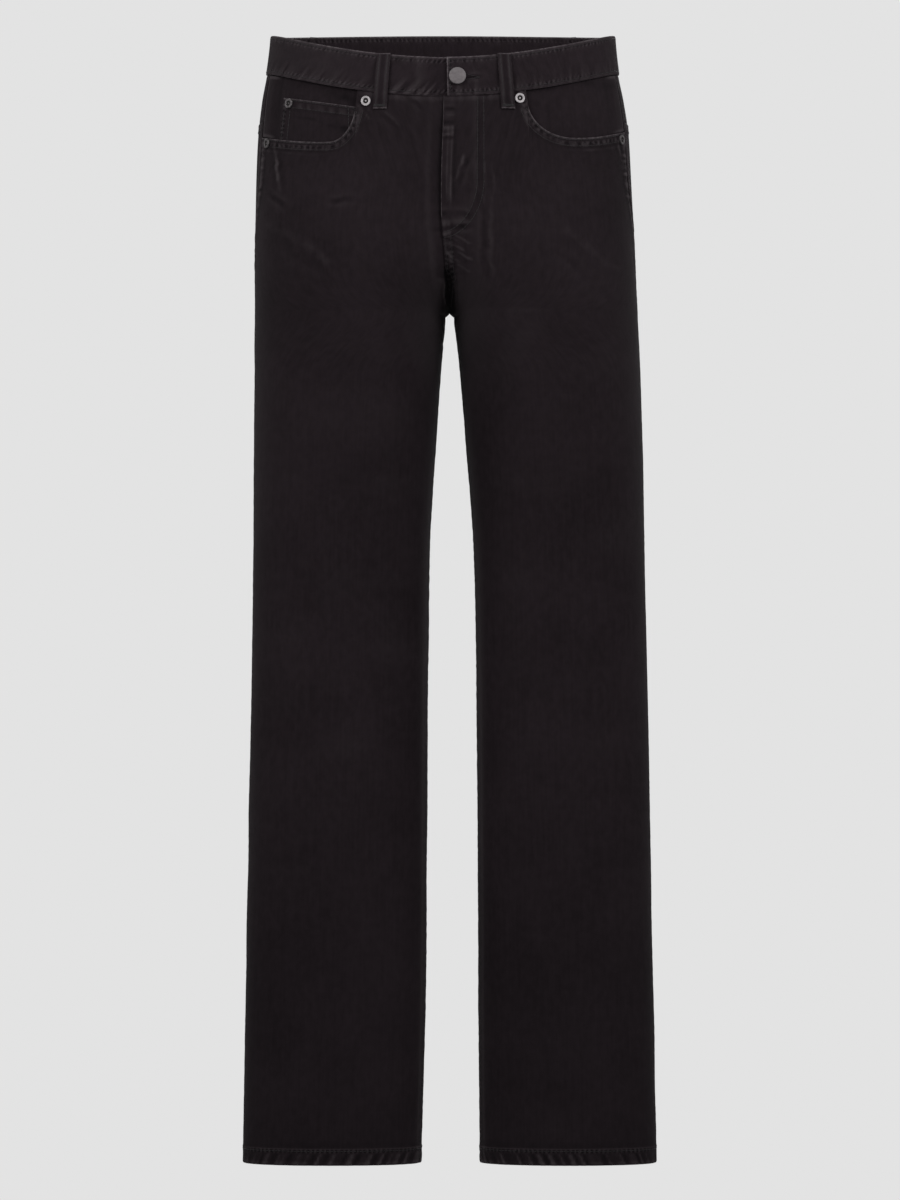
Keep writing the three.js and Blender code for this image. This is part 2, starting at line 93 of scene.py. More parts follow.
# %% Light
BACKDROP_GREY = 0.768
LAMP_AIM = -0.2
LAMPS = [
    # name, place, size, power
    ("front_left", (-1.3, -1.4, 0.8), 0.9, 35),
    ("front_right", (1.3, -1.4, 0.8), 0.9, 37),
    ("back", (0.3, 2.2, 0.9), 1.2, 36),
]


def add_lamp(name, place, size, power):
    bpy.ops.object.light_add(type="AREA", location=place)
    lamp = bpy.context.object
    lamp.name = name
    lamp.data.shape = "SQUARE"
    lamp.data.size = size
    lamp.data.energy = power
    aim = np.array([0, 0, LAMP_AIM]) - np.array(place)
    flat = math.hypot(aim[0], aim[1])
    lamp.rotation_euler = (math.atan2(flat, -aim[2]), 0, math.atan2(-aim[0], aim[1]))


for lamp in LAMPS:
    add_lamp(*lamp)

world = bpy.data.worlds.new("studio")
world.use_nodes = True
world.node_tree.nodes["Background"].inputs["Color"].default_value = (*[BACKDROP_GREY] * 3, 1)
bpy.context.scene.world = world
bpy.context.scene.view_settings.view_transform = "Standard"

# %% Floor
FLOOR_DROP = 0.065
FLOOR_RADIUS = 12.0


def add_floor():
    height = CAD_BOX[0][2] - FLOOR_DROP
    bpy.ops.mesh.primitive_circle_add(
        vertices=96, radius=FLOOR_RADIUS, fill_type="NGON", location=(0, 0, height))
    floor = bpy.context.object
    floor.name = "floor"
    material = bpy.data.materials.new("pale_floor")
    material.use_nodes = True
    shader = material.node_tree.nodes["Principled BSDF"]
    shader.inputs["Base Color"].default_value = (0, 0, 0, 1)
    shader.inputs["Specular IOR Level"].default_value = 0
    shader.inputs["Emission Color"].default_value = (*[BACKDROP_GREY] * 3, 1)
    shader.inputs["Emission Strength"].default_value = 1
    floor.data.materials.append(material)
    floor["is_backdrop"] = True


add_floor()

# %% [markdown]
# ## The form of the jeans
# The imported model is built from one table: at each distance down from the waistband's top edge
# it gives the half widths, the gap between the legs and the depths in front and behind. The same
# table and the same few formulas are repeated here with numpy, so that a fine mesh lies exactly
# on the model's walls. Lengths stay in millimetres until the last step, as on a pattern.

# %% The table of sections
WAIST_TOP = 25
FRONT_DIP = 28.3
BACK_RISE = 10
DIP_POWER = 2.3
RISE_POWER = 1.3
BAND_HEIGHT = 38.5
HEM_END = 1125.0
HEM_HEIGHT = 16.6
FORK_START = 130
FORK_END = 277
FORK_EASE_IN = 1.3
FORK_EASE_OUT = 1.5
CROTCH_SEAM_DROP = 3
CROTCH_SEAM_REACH = math.radians(40)
SEAM_GAP = 0.3
HALF_GAP = 0.006
CLOTH = 1.4
FULLNESS = 0.03
INNER_FULLNESS = 0.07
INNER_FULLNESS_REACH = 110

COLUMNS = ("down", "centre", "right", "left", "gap", "front", "back", "seam")
SECTIONS = np.array([
    (-14, 0.0, 170.8, 170.8, 4.6, 91, 97, 12),
    (0, 0.0, 171.5, 171.5, 4.6, 92, 98, 12),
    (40, 0.5, 176.8, 175.1, 4.6, 95, 104, 13),
    (65, 1.0, 181.8, 179.6, 4.6, 98, 109, 14),
    (103, 1.8, 186.7, 184.2, 4.6, 102, 117, 15),
    (145, 2.8, 189.5, 185.4, 4.6, 104, 123, 14),
    (190, 4.0, 191.5, 186.5, 4.6, 104, 126, 7),
    (240, 5.5, 193.3, 187.3, 4.6, 102, 122, 1),
    (279, 6.6, 194.8, 188.0, 4.6, 99, 112, -1),
    (315, 7.3, 195.8, 188.8, 8.0, 96, 102, -3),
    (365, 7.7, 196.4, 190.5, 12.1, 91, 94, -4),
    (415, 8.1, 197.1, 191.6, 15.8, 84, 87, -4),
    (465, 8.4, 197.8, 192.2, 19.5, 77, 80, -4),
    (515, 8.6, 198.2, 192.9, 22.3, 70, 73, -4),
    (565, 8.9, 198.8, 193.7, 23.5, 64, 67, -4),
    (665, 9.2, 200.9, 195.4, 24.6, 58, 61, -4),
    (765, 9.2, 202.8, 197.2, 25.4, 54, 58, -4),
    (865, 9.3, 204.8, 199.1, 26.0, 51, 54, -4),
    (965, 9.1, 206.5, 201.2, 26.7, 48, 49, -4),
    (1065, 8.1, 207.3, 204.2, 28.4, 44, 45, -4),
    (1126.5, 7.6, 207.6, 205.4, 29.6, 42, 42, -4),
], float)
DOWN = SECTIONS[:, 0]


def slopes(values):
    """The slopes of a smooth curve through a column, flat where the column turns back."""
    rise = np.diff(values) / np.diff(DOWN)
    first, second = rise[:-1], rise[1:]
    turns = first * second <= 0
    middle = np.where(turns, 0, 2 * first * second / np.where(turns, 1, first + second))
    return np.concatenate([rise[:1], middle, rise[-1:]])


SLOPES = {column: slopes(SECTIONS[:, k]) for k, column in enumerate(COLUMNS)}


def section(column, down):
    """One column of the table at any distance down."""
    values, slope = SECTIONS[:, COLUMNS.index(column)], SLOPES[column]
    i = np.clip(np.searchsorted(DOWN, down, side="right") - 1, 0, len(DOWN) - 2)
    span = DOWN[i + 1] - DOWN[i]
    t = (down - DOWN[i]) / span
    smooth = t * t * (3 - 2 * t)
    bend = t * (1 - t) * span
    level = values[i] * (1 - smooth) + values[i + 1] * smooth
    return level + bend * (slope[i] * (1 - t) - slope[i + 1] * t)


# %% The rounded section of one leg


def mix(low, high, t):
    return low + (high - low) * t


def ease(value, low, high):
    t = np.clip((value - low) / (high - low), 0, 1)
    return t * t * (3 - 2 * t)


def ring(side, down):
    """One leg's section. Above the crotch it overlaps the other leg's, up to one hip section."""
    outer = np.where(side > 0, section("left", down), section("right", down))
    gap = section("gap", down)
    way = np.clip((down - FORK_START) / (FORK_END - FORK_START), 0, 1)
    inner = gap - outer * (1 - way**FORK_EASE_IN) ** FORK_EASE_OUT
    near = 1 - ease(np.abs(down - FORK_END), 0, INNER_FULLNESS_REACH)
    opened = ease(down, FORK_END, FORK_END + CROTCH_SEAM_DROP)
    return SimpleNamespace(
        centre=section("centre", down), middle=(outer + inner) / 2, half=(outer - inner) / 2,
        front=section("front", down), back=section("back", down),
        fullness=mix(FULLNESS, INNER_FULLNESS, near), seam=np.radians(section("seam", down)),
        drawn_in=(gap - HALF_GAP) * (1 - opened))


def push(shape, angle):
    fullness = np.where(np.abs(angle) > np.pi / 2, shape.fullness, FULLNESS)
    return 1 + fullness * np.sin(2 * angle) ** 2


def across_at(shape, angle):
    drawn = shape.drawn_in * ease(np.abs(angle), np.pi - CROTCH_SEAM_REACH, np.pi)
    return shape.middle + shape.half * np.cos(angle) * push(shape, angle) - drawn


def angle_at(shape, across):
    """The angle round the section, from its outer side, at which it lies this far across."""
    low = np.zeros(np.broadcast(shape.middle, across).shape)
    high = np.full_like(low, np.pi)
    for _ in range(32):
        middle = (low + high) / 2
        further = across_at(shape, middle) > across
        low, high = np.where(further, middle, low), np.where(further, high, middle)
    return (low + high) / 2


def front_end(shape):
    return np.minimum(angle_at(shape, HALF_GAP), np.pi - HALF_GAP / shape.front)


def back_end(shape):
    return np.minimum(angle_at(shape, HALF_GAP), np.pi - HALF_GAP / shape.back)


def face_point(side, angle, down, facing=None):
    """Points of the jeans' face, in millimetres. Positive angles go round the front."""
    shape = ring(side, down)
    depth = np.where((angle if facing is None else facing) > 0, shape.front, shape.back)
    x = shape.centre + side * across_at(shape, angle)
    y = -depth * np.sin(angle) * push(shape, angle)
    return np.stack(np.broadcast_arrays(x, y, WAIST_TOP - down), axis=-1)


def face_normal(side, angle, down):
    turn, drop = 0.004, 0.4
    around = face_point(side, angle + turn, down, angle) - face_point(
        side, angle - turn, down, angle)
    along = face_point(side, angle, down + drop) - face_point(side, angle, down - drop)
    normal = np.cross(around, along) * np.asarray(side)[..., None]
    return normal / np.linalg.norm(normal, axis=-1, keepdims=True)


def lifted(side, angle, down, height):
    """Points this many millimetres out from the face."""
    side, angle, down, height = np.broadcast_arrays(side, angle, down, height)
    return face_point(side, angle, down) + face_normal(side, angle, down) * height[..., None]


# %% [markdown]
# ## Edges of the pieces
# A pattern piece is known by its edges. These functions give the waistband's edges, the curved
# mouth of the front pockets and the yoke seam, each as a distance down at a place round the
# hips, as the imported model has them. Only the mouth of the left pocket is drawn a little
# closer to the photograph.

# %% Edges
# start, width and height of the corner, its roundness, and the rise of the rest
MOUTH = {1: (81.4, 45, 40.1, 2.1, 13.3), -1: (86.5, 28, 44.5, 2, 7)}
MOUTH_RIM_LENGTH = 62
YOKE_SIDE_HEIGHT = 46
YOKE_CENTRE_HEIGHT = 78


def waist_top(angle):
    way = np.abs(np.sin(angle))
    return np.where(angle > 0, FRONT_DIP * way**DIP_POWER, -BACK_RISE * way**RISE_POWER)


def waist_seam(angle):
    return waist_top(angle) + BAND_HEIGHT + SEAM_GAP


def mouth_down(side, across, angle):
    start, width, height, power, rise = MOUTH[side]
    lowest = float(waist_seam(np.pi / 2)) + height - SEAM_GAP
    way = np.clip((start + width - across) / width, 0, 1)
    corner = lowest - height * (1 - (1 - way**power) ** (1 / power))
    rim = lowest - rise * ((across - start - width) / MOUTH_RIM_LENGTH) ** 2
    edge = np.where(across < start + width, np.maximum(waist_seam(angle), corner), rim)
    return np.where(across <= start, waist_seam(angle), edge)


def yoke_seam(share, angle):
    return waist_seam(angle) + mix(YOKE_SIDE_HEIGHT, YOKE_CENTRE_HEIGHT, share**1.15)


# %% [markdown]
# ## Shader maths
# A material is easier to read as arithmetic than as a web of nodes. This small class wraps the
# output of a node, and each operator on it adds the Math node that does the sum.

# %% Shader maths


class Value:
    """A number that a material works out at each point of a surface."""

    def __init__(self, tree, socket):
        self.tree, self.socket = tree, socket

    def math(self, operation, *others, swap=False):
        values = [*others, self] if swap else [self, *others]
        return node(self.tree, "ShaderNodeMath", {"operation": operation}, values)[0]

    def __add__(self, other):
        return self.math("ADD", other)

    def __sub__(self, other):
        return self.math("SUBTRACT", other)

    def __rsub__(self, other):
        return self.math("SUBTRACT", other, swap=True)

    def __mul__(self, other):
        return self.math("MULTIPLY", other)

    def __truediv__(self, other):
        return self.math("DIVIDE", other)

    def __pow__(self, other):
        return self.math("POWER", other)

    __radd__ = __add__
    __rmul__ = __mul__

    def step(self, low, high):
        """A soft step from 0 at low to 1 at high."""
        settings = {"interpolation_type": "SMOOTHSTEP"}
        return node(self.tree, "ShaderNodeMapRange", settings, [self, low, high])[0]


def node(tree, kind, settings=None, values=()):
    """Adds a node, sets it up, and feeds its sockets by place or by name. Gives its outputs."""
    made = tree.nodes.new(kind)
    for name, setting in (settings or {}).items():
        setattr(made, name, setting)
    pairs = values.items() if isinstance(values, dict) else enumerate(values)
    for key, value in pairs:
        if isinstance(value, Value):
            tree.links.new(value.socket, made.inputs[key])
        elif value is not None:
            made.inputs[key].default_value = value
    return [Value(tree, socket) for socket in made.outputs if socket.enabled]


def blend(tree, factor, low, high):
    """A colour between two others."""
    made = tree.nodes.new("ShaderNodeMix")
    made.data_type = "RGBA"
    for index, value in ((0, factor), (6, low), (7, high)):
        if isinstance(value, Value):
            tree.links.new(value.socket, made.inputs[index])
        elif index == 0:
            made.inputs[index].default_value = value
        else:
            made.inputs[index].default_value = (*value, 1)
    return Value(tree, made.outputs[2])


def attribute(tree, name):
    return node(tree, "ShaderNodeAttribute", {"attribute_name": name})[2]


def noise(tree, vector, scale, detail=2.0, roughness=0.5):
    values = {"Vector": vector, "Scale": scale, "Detail": detail, "Roughness": roughness}
    return node(tree, "ShaderNodeTexNoise", {}, values)[0]


def stretched(tree, vector, scale):
    """A vector with each part multiplied, to draw a pattern out in one direction."""
    return node(tree, "ShaderNodeVectorMath", {"operation": "MULTIPLY"}, [vector, scale])[0]


# %% [markdown]
# ## Washed black denim
# Denim is a twill: dark warp yarns float over the weft in steep diagonal ribs, under a
# millimetre apart. Black denim that has been washed is not one colour. It is cloudy, streaked
# along the warp, and paler wherever a fold or a ridge has been rubbed. The hollows, the troughs
# of the puckers and the grooves of the stitching are painted darker: partly the dye that stays
# there, partly painted shade. The mesh carries numbers for this at each point. "edge" is the
# distance in millimetres from a folded edge, and the relief number is above zero on ridges and
# below it in hollows; painted shade lowers it and painted light raises it. "row" is the
# distance from a row of stitches and "along" the distance along it, for the small puckers that
# every row draws into the cloth.

# %% Denim
DARK = (0.0039, 0.0025, 0.0031)
PALE = (0.0088, 0.0062, 0.0075)
# the pale colour of wear, also used for painted light
WORN_AND_LIT = (0.058, 0.050, 0.053)
# near black for the painted shade in hollows, partly the dye that stays there
HOLLOW_SHADE = (0.0012, 0.0007, 0.0011)
TWILL_PITCH = 0.0009
YARN_LEAN = 2.0
PUCKER_PITCH = 4.7
PUCKER_REACH = 3.0


def denim(name, edge_wear=1.0, lightness=1.0):
    material = bpy.data.materials.new(name)
    material.use_nodes = True
    tree = material.node_tree
    shader = tree.nodes["Principled BSDF"]
    cloth = node(tree, "ShaderNodeUVMap", {"uv_map": "cloth"})[0]
    place = node(tree, "ShaderNodeTexCoord")[3]
    parts = node(tree, "ShaderNodeSeparateXYZ", {}, [cloth])
    across, along = parts[0], parts[1]

    clouds = noise(tree, place, 9.0, 3.0, 0.6)
    mottle = noise(tree, stretched(tree, cloth, (150, 95, 1)), 1.0, 3.0, 0.65)
    streaks = noise(tree, stretched(tree, cloth, (420, 14, 1)), 1.0, 2.0, 0.6)
    fuzz = noise(tree, stretched(tree, cloth, (900, 700, 1)), 1.0, 1.0, 0.5)
    twill = ((across * YARN_LEAN + along) * (2 * math.pi / TWILL_PITCH / YARN_LEAN)).math("SINE")
    tone = (clouds.step(0.3, 0.7) * 0.4 + streaks.step(0.25, 0.75) * 0.25
            + mottle.step(0.3, 0.7) * 0.35 + fuzz * 0.2 + twill * 0.05)
    colour = blend(tree, tone, tuple(v * lightness for v in DARK),
                   tuple(v * lightness for v in PALE))

    edge = attribute(tree, "edge")
    relief_and_shade = attribute(tree, "relief_and_shade")
    row = attribute(tree, "row")
    along = attribute(tree, "along")
    broken = noise(tree, stretched(tree, cloth, (260, 260, 1)), 1.0, 2.0, 0.6)
    patches = noise(tree, stretched(tree, cloth, (38, 38, 1)), 1.0, 2.0, 0.5).step(0.32, 0.62)
    uneven = (broken - 0.5) * 5.0
    pucker = ((along + uneven) * (2 * math.pi / PUCKER_PITCH)).math("SINE")
    pucker = pucker * (1 - row.step(0.4, PUCKER_REACH)) * (0.35 + patches * 0.65)
    groove = 1 - row.step(0.1, 0.9)
    # wear along the folded edges, paler in broken patches
    wear_and_sheen = (1 - edge.step(0.4, 1.9)) * (0.25 + broken.step(0.3, 0.65) * 0.75) * edge_wear
    wear_and_sheen = wear_and_sheen * (0.45 + patches * 0.55)
    # ridges pale as wear, and as painted light where the shade field is below zero
    ridge = relief_and_shade.math("MAXIMUM", 0.0) * (0.4 + broken * 0.5) * 0.42
    ridge = ridge + pucker.math("MAXIMUM", 0.0) * 0.17
    worn_and_lit = (wear_and_sheen * 0.85 + ridge).math("MINIMUM", 1.0)
    # painted shade: hollows, pucker troughs and stitch grooves darken, partly as dye kept there
    hollow_shade = relief_and_shade * -0.75 + (pucker * -0.7).math("MAXIMUM", 0.0) + groove * 0.35
    hollow_shade = hollow_shade.math("MAXIMUM", 0.0).math("MINIMUM", 0.85)
    colour = blend(tree, hollow_shade, colour, HOLLOW_SHADE)
    colour = blend(tree, worn_and_lit, colour, WORN_AND_LIT)
    tree.links.new(colour.socket, shader.inputs["Base Color"])

    roughness = 0.86 - worn_and_lit * 0.08 + fuzz * 0.08
    tree.links.new(roughness.socket, shader.inputs["Roughness"])
    weave = twill * 0.5 + fuzz * 0.8 + streaks * 0.5 + pucker * 1.6 - groove * 1.2
    bump = node(tree, "ShaderNodeBump", {}, {
        "Strength": 0.35, "Distance": 0.0003, "Height": weave})[0]
    tree.links.new(bump.socket, shader.inputs["Normal"])
    shader.inputs["Specular IOR Level"].default_value = 0.06
    shader.inputs["Sheen Weight"].default_value = 0.006
    shader.inputs["Sheen Roughness"].default_value = 0.45
    return material


DENIM = denim("washed_black_denim")
SEAM_DENIM = denim("washed_black_denim_seams", 1.1, 1.16)

# %% [markdown]
# ## Thread and metal
# The jeans are sewn with thread as dark as the cloth, slightly glossier and rubbed pale in
# places. The waist button is matt grey pewter. The rivets are worn nickel, and those at the
# sides and on the coin pocket are a darker nickel than the two beside the front loops.

# %% Thread, pewter and nickel


def thread_finish():
    material = bpy.data.materials.new("charcoal_thread")
    material.use_nodes = True
    tree = material.node_tree
    shader = tree.nodes["Principled BSDF"]
    place = node(tree, "ShaderNodeTexCoord")[3]
    wear = noise(tree, place, 60.0, 2.0, 0.6).step(0.45, 0.75)
    ply = noise(tree, place, 2400.0, 1.0, 0.5)
    colour = blend(tree, wear * 0.7 + ply * 0.3, (0.003, 0.0021, 0.0026), (0.0065, 0.0051, 0.0058))
    tree.links.new(colour.socket, shader.inputs["Base Color"])
    bump = node(tree, "ShaderNodeBump", {}, {
        "Strength": 0.4, "Distance": 0.0001, "Height": ply})[0]
    tree.links.new(bump.socket, shader.inputs["Normal"])
    shader.inputs["Roughness"].default_value = 0.6
    shader.inputs["Specular IOR Level"].default_value = 0.25
    return material


def metal_finish(name, dark, bright, grain, rough):
    material = bpy.data.materials.new(name)
    material.use_nodes = True
    tree = material.node_tree
    shader = tree.nodes["Principled BSDF"]
    place = node(tree, "ShaderNodeTexCoord")[3]
    patina = noise(tree, place, grain, 3.0, 0.6)
    scratches = noise(tree, place, grain * 9, 2.0, 0.7)
    colour = blend(tree, patina.step(0.35, 0.65), dark, bright)
    tree.links.new(colour.socket, shader.inputs["Base Color"])
    roughness = rough + patina * 0.15 + scratches * 0.1
    tree.links.new(roughness.socket, shader.inputs["Roughness"])
    bump = node(tree, "ShaderNodeBump", {}, {
        "Strength": 0.2, "Distance": 0.0001, "Height": scratches})[0]
    tree.links.new(bump.socket, shader.inputs["Normal"])
    shader.inputs["Metallic"].default_value = 0.85
    return material


THREAD = thread_finish()
PEWTER = metal_finish("matt_pewter", (0.075, 0.067, 0.070), (0.096, 0.087, 0.090), 260.0, 0.5)
NICKEL = metal_finish("worn_nickel", (0.15, 0.14, 0.143), (0.24, 0.225, 0.23), 380.0, 0.45)
DARK_NICKEL = metal_finish("dark_nickel", (0.032, 0.028, 0.029), (0.085, 0.078, 0.08), 380.0, 0.45)
TARNISH = metal_finish("tarnished_nickel", (0.006, 0.005, 0.005), (0.02, 0.018, 0.018), 380.0, 0.6)

# %% [markdown]
# ## Making a piece of cloth
# Each piece starts as a grid primitive. A function bends the grid onto the form: it gets the
# share of the way round and down for every point, and gives the place on the jeans and the
# height above their face. The height holds all that is sewn or creased into the cloth. Solidify
# then gives the sheet its thickness on the inside. What stands above its surroundings counts
# as a ridge and is painted paler as wear, and what lies below counts as a hollow and is painted
# darker, partly as painted shade, so both follow the shape by themselves. A shade field adds
# painted shade where a fold should be darker, and painted light where a side should be paler.
# The sheets could be cut flat and simulated, but then their seams would not fall where they
# should.

# %% Cloth from a grid
RELIEF_SCALE = 0.45
RELIEF_REACH = 3
ON_MIDDLE = 0.1  # points this close to the middle plane stay at their distance from it
FULLEST_CUT = 0.99


def blurred(field, reach):
    """The field averaged over a square of neighbours."""
    for axis in (0, 1):
        padded = np.concatenate([
            np.repeat(field.take([0], axis), reach, axis), field,
            np.repeat(field.take([-1], axis), reach, axis)], axis)
        total = np.cumsum(padded, axis)
        size = 2 * reach + 1
        zero = np.zeros_like(total.take([0], axis))
        total = np.concatenate([zero, total], axis)
        count = field.shape[axis]
        upper = total.take(np.arange(size, size + count), axis)
        field = (upper - total.take(np.arange(count), axis)) / size
    return field


def cloth_lengths(points):
    """Millimetres of cloth from the middle column, and down from the top row."""
    step = np.linalg.norm(np.diff(points, axis=1), axis=-1)
    across = np.concatenate([np.zeros((len(points), 1)), np.cumsum(step, axis=1)], axis=1)
    across -= across[:, points.shape[1] // 2][:, None]
    drop = np.linalg.norm(np.diff(points, axis=0), axis=-1)
    along = np.concatenate([np.zeros((1, points.shape[1])), np.cumsum(drop, axis=0)])
    return across, np.broadcast_to(along[:, points.shape[1] // 2][:, None], across.shape)


def active_grid(name, columns, rows):
    bpy.ops.object.select_all(action="DESELECT")
    bpy.ops.mesh.primitive_grid_add(x_subdivisions=columns, y_subdivisions=rows, size=2)
    piece = bpy.context.object
    piece.name = piece.data.name = name
    return piece


def grid_shares(mesh, columns, rows):
    """The order that sorts the grid's points by rows, and their shares of the way across and
    down."""
    place = np.empty(3 * len(mesh.vertices))
    mesh.vertices.foreach_get("co", place)
    place = place.reshape(-1, 3)
    u, v = place[:, 0] / 2 + 0.5, 0.5 - place[:, 1] / 2
    order = np.lexsort((u, np.round(v * rows)))
    shape = (rows + 1, columns + 1)
    return order, u[order].reshape(shape), v[order].reshape(shape)


def write_points(mesh, order, points):
    places = np.empty((len(order), 3))
    places[order] = points.reshape(-1, 3) * MM
    mesh.vertices.foreach_set("co", places.ravel())


def write_numbers(mesh, order, shape, numbers):
    """Stores the numbers that the material reads at each point."""
    for key, field in numbers.items():
        values = np.empty(len(order))
        values[order] = np.broadcast_to(field, shape).ravel()
        mesh.attributes.new(key, "FLOAT", "POINT").data.foreach_set("value", values)


def write_flat_places(mesh, order, points):
    """Lays the cloth out flat, for the weave: each point gets its lengths along the cloth."""
    lengths = np.empty((len(order), 2))
    lengths[order] = np.stack(cloth_lengths(points), axis=-1).reshape(-1, 2) * (MM, -MM)
    corners = np.empty(len(mesh.loops), int)
    mesh.loops.foreach_get("vertex_index", corners)
    mesh.uv_layers[0].name = "cloth"
    mesh.uv_layers["cloth"].data.foreach_set("uv", lengths[corners].ravel())


def cloth(name, columns, rows, place, material, rests_on, thickness=CLOTH):
    """A solid sheet of cloth bent onto the form. place(u, v) gives a SimpleNamespace."""
    piece = active_grid(name, columns, rows)
    mesh = piece.data
    order, u, v = grid_shares(mesh, columns, rows)
    at = place(u, v)
    points = lifted(at.side, at.angle, at.down, at.height)
    points[..., 1] += at.recess
    middle = face_point(at.side, at.angle, at.down)[..., 0]
    points[..., 0] = np.where(np.abs(middle) < ON_MIDDLE, middle, points[..., 0])
    uneven = at.height - at.layers
    # the relief number: ridges and hollows of the cloth, less the shade field, which is painted
    # shade above zero and painted light below it
    relief_and_shade = (uneven - blurred(uneven, RELIEF_REACH)) / RELIEF_SCALE - at.shade
    write_points(mesh, order, points)
    write_numbers(mesh, order, u.shape, {
        "edge": at.edge, "relief_and_shade": np.clip(relief_and_shade, -1, 1) * (at.edge > 1),
        "row": at.row, "along": at.along})
    write_flat_places(mesh, order, points)
    centre = (rows // 2, columns // 2)
    normal = face_normal(*np.broadcast_arrays(at.side, at.angle, at.down))[centre]
    face_outwards(piece, order.reshape(u.shape)[centre], normal)
    thicken(piece, at.wall, order, thickness)
    piece.data.materials.append(material)
    declare(piece, name, points)
    return piece


def declare(piece, name, points):
    """Works out the flat size of the cut, which nothing uses, then hangs the piece on the root."""
    across, along = cloth_lengths(points)
    width, length = np.ptp(across, axis=1).max() * MM, np.ptp(along) * MM
    length = max(length, np.linalg.norm(np.diff(points, axis=0), axis=-1).sum(axis=0).max() * MM)
    side, drop = np.diff(points, axis=1)[:-1], np.diff(points, axis=0)[:, :-1]
    area = np.linalg.norm(np.cross(side, drop), axis=-1).sum() * MM**2
    area = min(area, FULLEST_CUT * width * length)
    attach(piece, "root")
    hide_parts(name)


def face_outwards(piece, vertex, outward):
    """Turns the sheet's faces over if the ones at this vertex look into the jeans."""
    polygon = next(p for p in piece.data.polygons if vertex in p.vertices)
    if np.dot(outward, np.array(polygon.normal)) < 0:
        bpy.ops.object.mode_set(mode="EDIT")
        bpy.ops.mesh.select_all(action="SELECT")
        bpy.ops.mesh.flip_normals()
        bpy.ops.object.mode_set(mode="OBJECT")


def thicken(piece, wall, order, thickness):
    """Gives the sheet its wall on the inside, as a share of the thickness where wall is set."""
    solidify = piece.modifiers.new("wall", "SOLIDIFY")
    solidify.thickness = thickness * MM
    solidify.offset = -1
    if wall is not None:
        group = piece.vertex_groups.new(name="wall")
        weights = np.empty(len(order))
        weights[order] = np.round(wall, 2).ravel()
        for weight in np.unique(weights):
            group.add(np.flatnonzero(weights == weight).tolist(), float(weight), "REPLACE")
        solidify.vertex_group = "wall"
    bpy.ops.object.modifier_apply(modifier="wall")
    bpy.ops.object.shade_smooth_by_angle(angle=math.radians(55))
    piece.vertex_groups.clear()


def at_place(side, angle, down, height, edge, rows, wall=None, layers=0.0, shade=0.0,
             recess=0.0):
    """What cloth() needs at each point. rows pairs the distance from a row of stitches with
    the distance along it, and the nearest row counts. layers is the part of the height that
    brings no wear and no painted shade with it, shade is painted shade in a fold and painted
    light where it is below zero, and recess folds the front backwards."""
    rows = [np.broadcast_arrays(np.abs(off), along, angle)[:2] for off, along in rows]
    offs = np.stack([off for off, _ in rows])
    along = np.stack([along for _, along in rows])
    first = offs.argmin(axis=0)[None]
    side, angle, down, height, edge = np.broadcast_arrays(side, angle, down, height, edge)
    return SimpleNamespace(
        side=side, angle=angle, down=down, height=height, edge=edge, wall=wall,
        layers=layers, shade=shade, recess=recess, row=np.take_along_axis(offs, first, 0)[0],
        along=np.take_along_axis(along, first, 0)[0])


# %% Small waves and marks in the cloth


def ripple(position, pitch, seed):
    """Uneven waves from -1 to 1, about one every two pitches."""
    levels = np.random.default_rng(seed).uniform(-1, 1, 4096)
    place = np.asarray(position) / pitch + 700
    i = np.floor(place).astype(int) % 4095
    t = place - np.floor(place)
    return mix(levels[i], levels[i + 1], t * t * (3 - 2 * t))


def billow(across, down, size, seed):
    """Soft uneven hills from -1 to 1 over the cloth."""
    levels = np.random.default_rng(seed).uniform(-1, 1, (64, 64))
    x, y = np.asarray(across) / size + 30, np.asarray(down) / size + 5
    i, j = np.floor(x).astype(int) % 63, np.floor(y).astype(int) % 63
    s, t = x - np.floor(x), y - np.floor(y)
    s, t = s * s * (3 - 2 * s), t * t * (3 - 2 * t)
    return mix(mix(levels[j, i], levels[j, i + 1], s), mix(levels[j + 1, i],
               levels[j + 1, i + 1], s), t)


def peak(value, centre, width):
    return np.exp(-(((value - centre) / width) ** 2))


def seen(points):
    """Millimetres across and down in the picture, as the camera sees these points."""
    scale = CAMERA_DISTANCE / (CAMERA_DISTANCE + points[..., 1] * MM)
    middle, level = CAMERA_SIDE / MM, WAIST_TOP - CAMERA_HEIGHT / MM
    across = (points[..., 0] - middle) * scale + middle
    return across, level + (WAIST_TOP - points[..., 2] - level) * scale


def pressed(points, marks):
    """The height of creases that run from one place in the picture to another."""
    across, down = seen(points)
    across, down = (across + 1.6 * ripple(down, 9, 1) + 0.7 * ripple(down, 3.5, 2),
                    down + 1.6 * ripple(across, 9, 3) + 0.7 * ripple(across, 3.5, 4))
    strength = 0.75 + 0.5 * billow(across, down, 7, 5)
    total = np.zeros(across.shape)
    for x0, d0, x1, d1, width, height in marks:
        length = math.hypot(x1 - x0, d1 - d0)
        way = ((across - x0) * (x1 - x0) + (down - d0) * (d1 - d0)) / length
        off = ((across - x0) * (d1 - d0) - (down - d0) * (x1 - x0)) / length
        past = np.maximum(np.maximum(-way, way - length), 0)
        total += height * np.exp(-((off / width) ** 2) - (past / (2.2 * width)) ** 2)
    return total * strength


def nearest(points, line):
    """How far each point is from a line, and how far along the line that is."""
    along = np.concatenate([[0], np.cumsum(np.linalg.norm(np.diff(line, axis=0), axis=-1))])
    flat = points.reshape(-1, 3)
    square = (flat**2).sum(-1)[:, None] + (line**2).sum(-1) - 2 * flat @ line.T
    index = square.argmin(axis=1)
    distance = np.sqrt(np.maximum(square[np.arange(len(flat)), index], 0))
    return distance.reshape(points.shape[:-1]), along[index].reshape(points.shape[:-1])


FAR = 999.0
NO_ROWS = [(FAR, 0.0)]
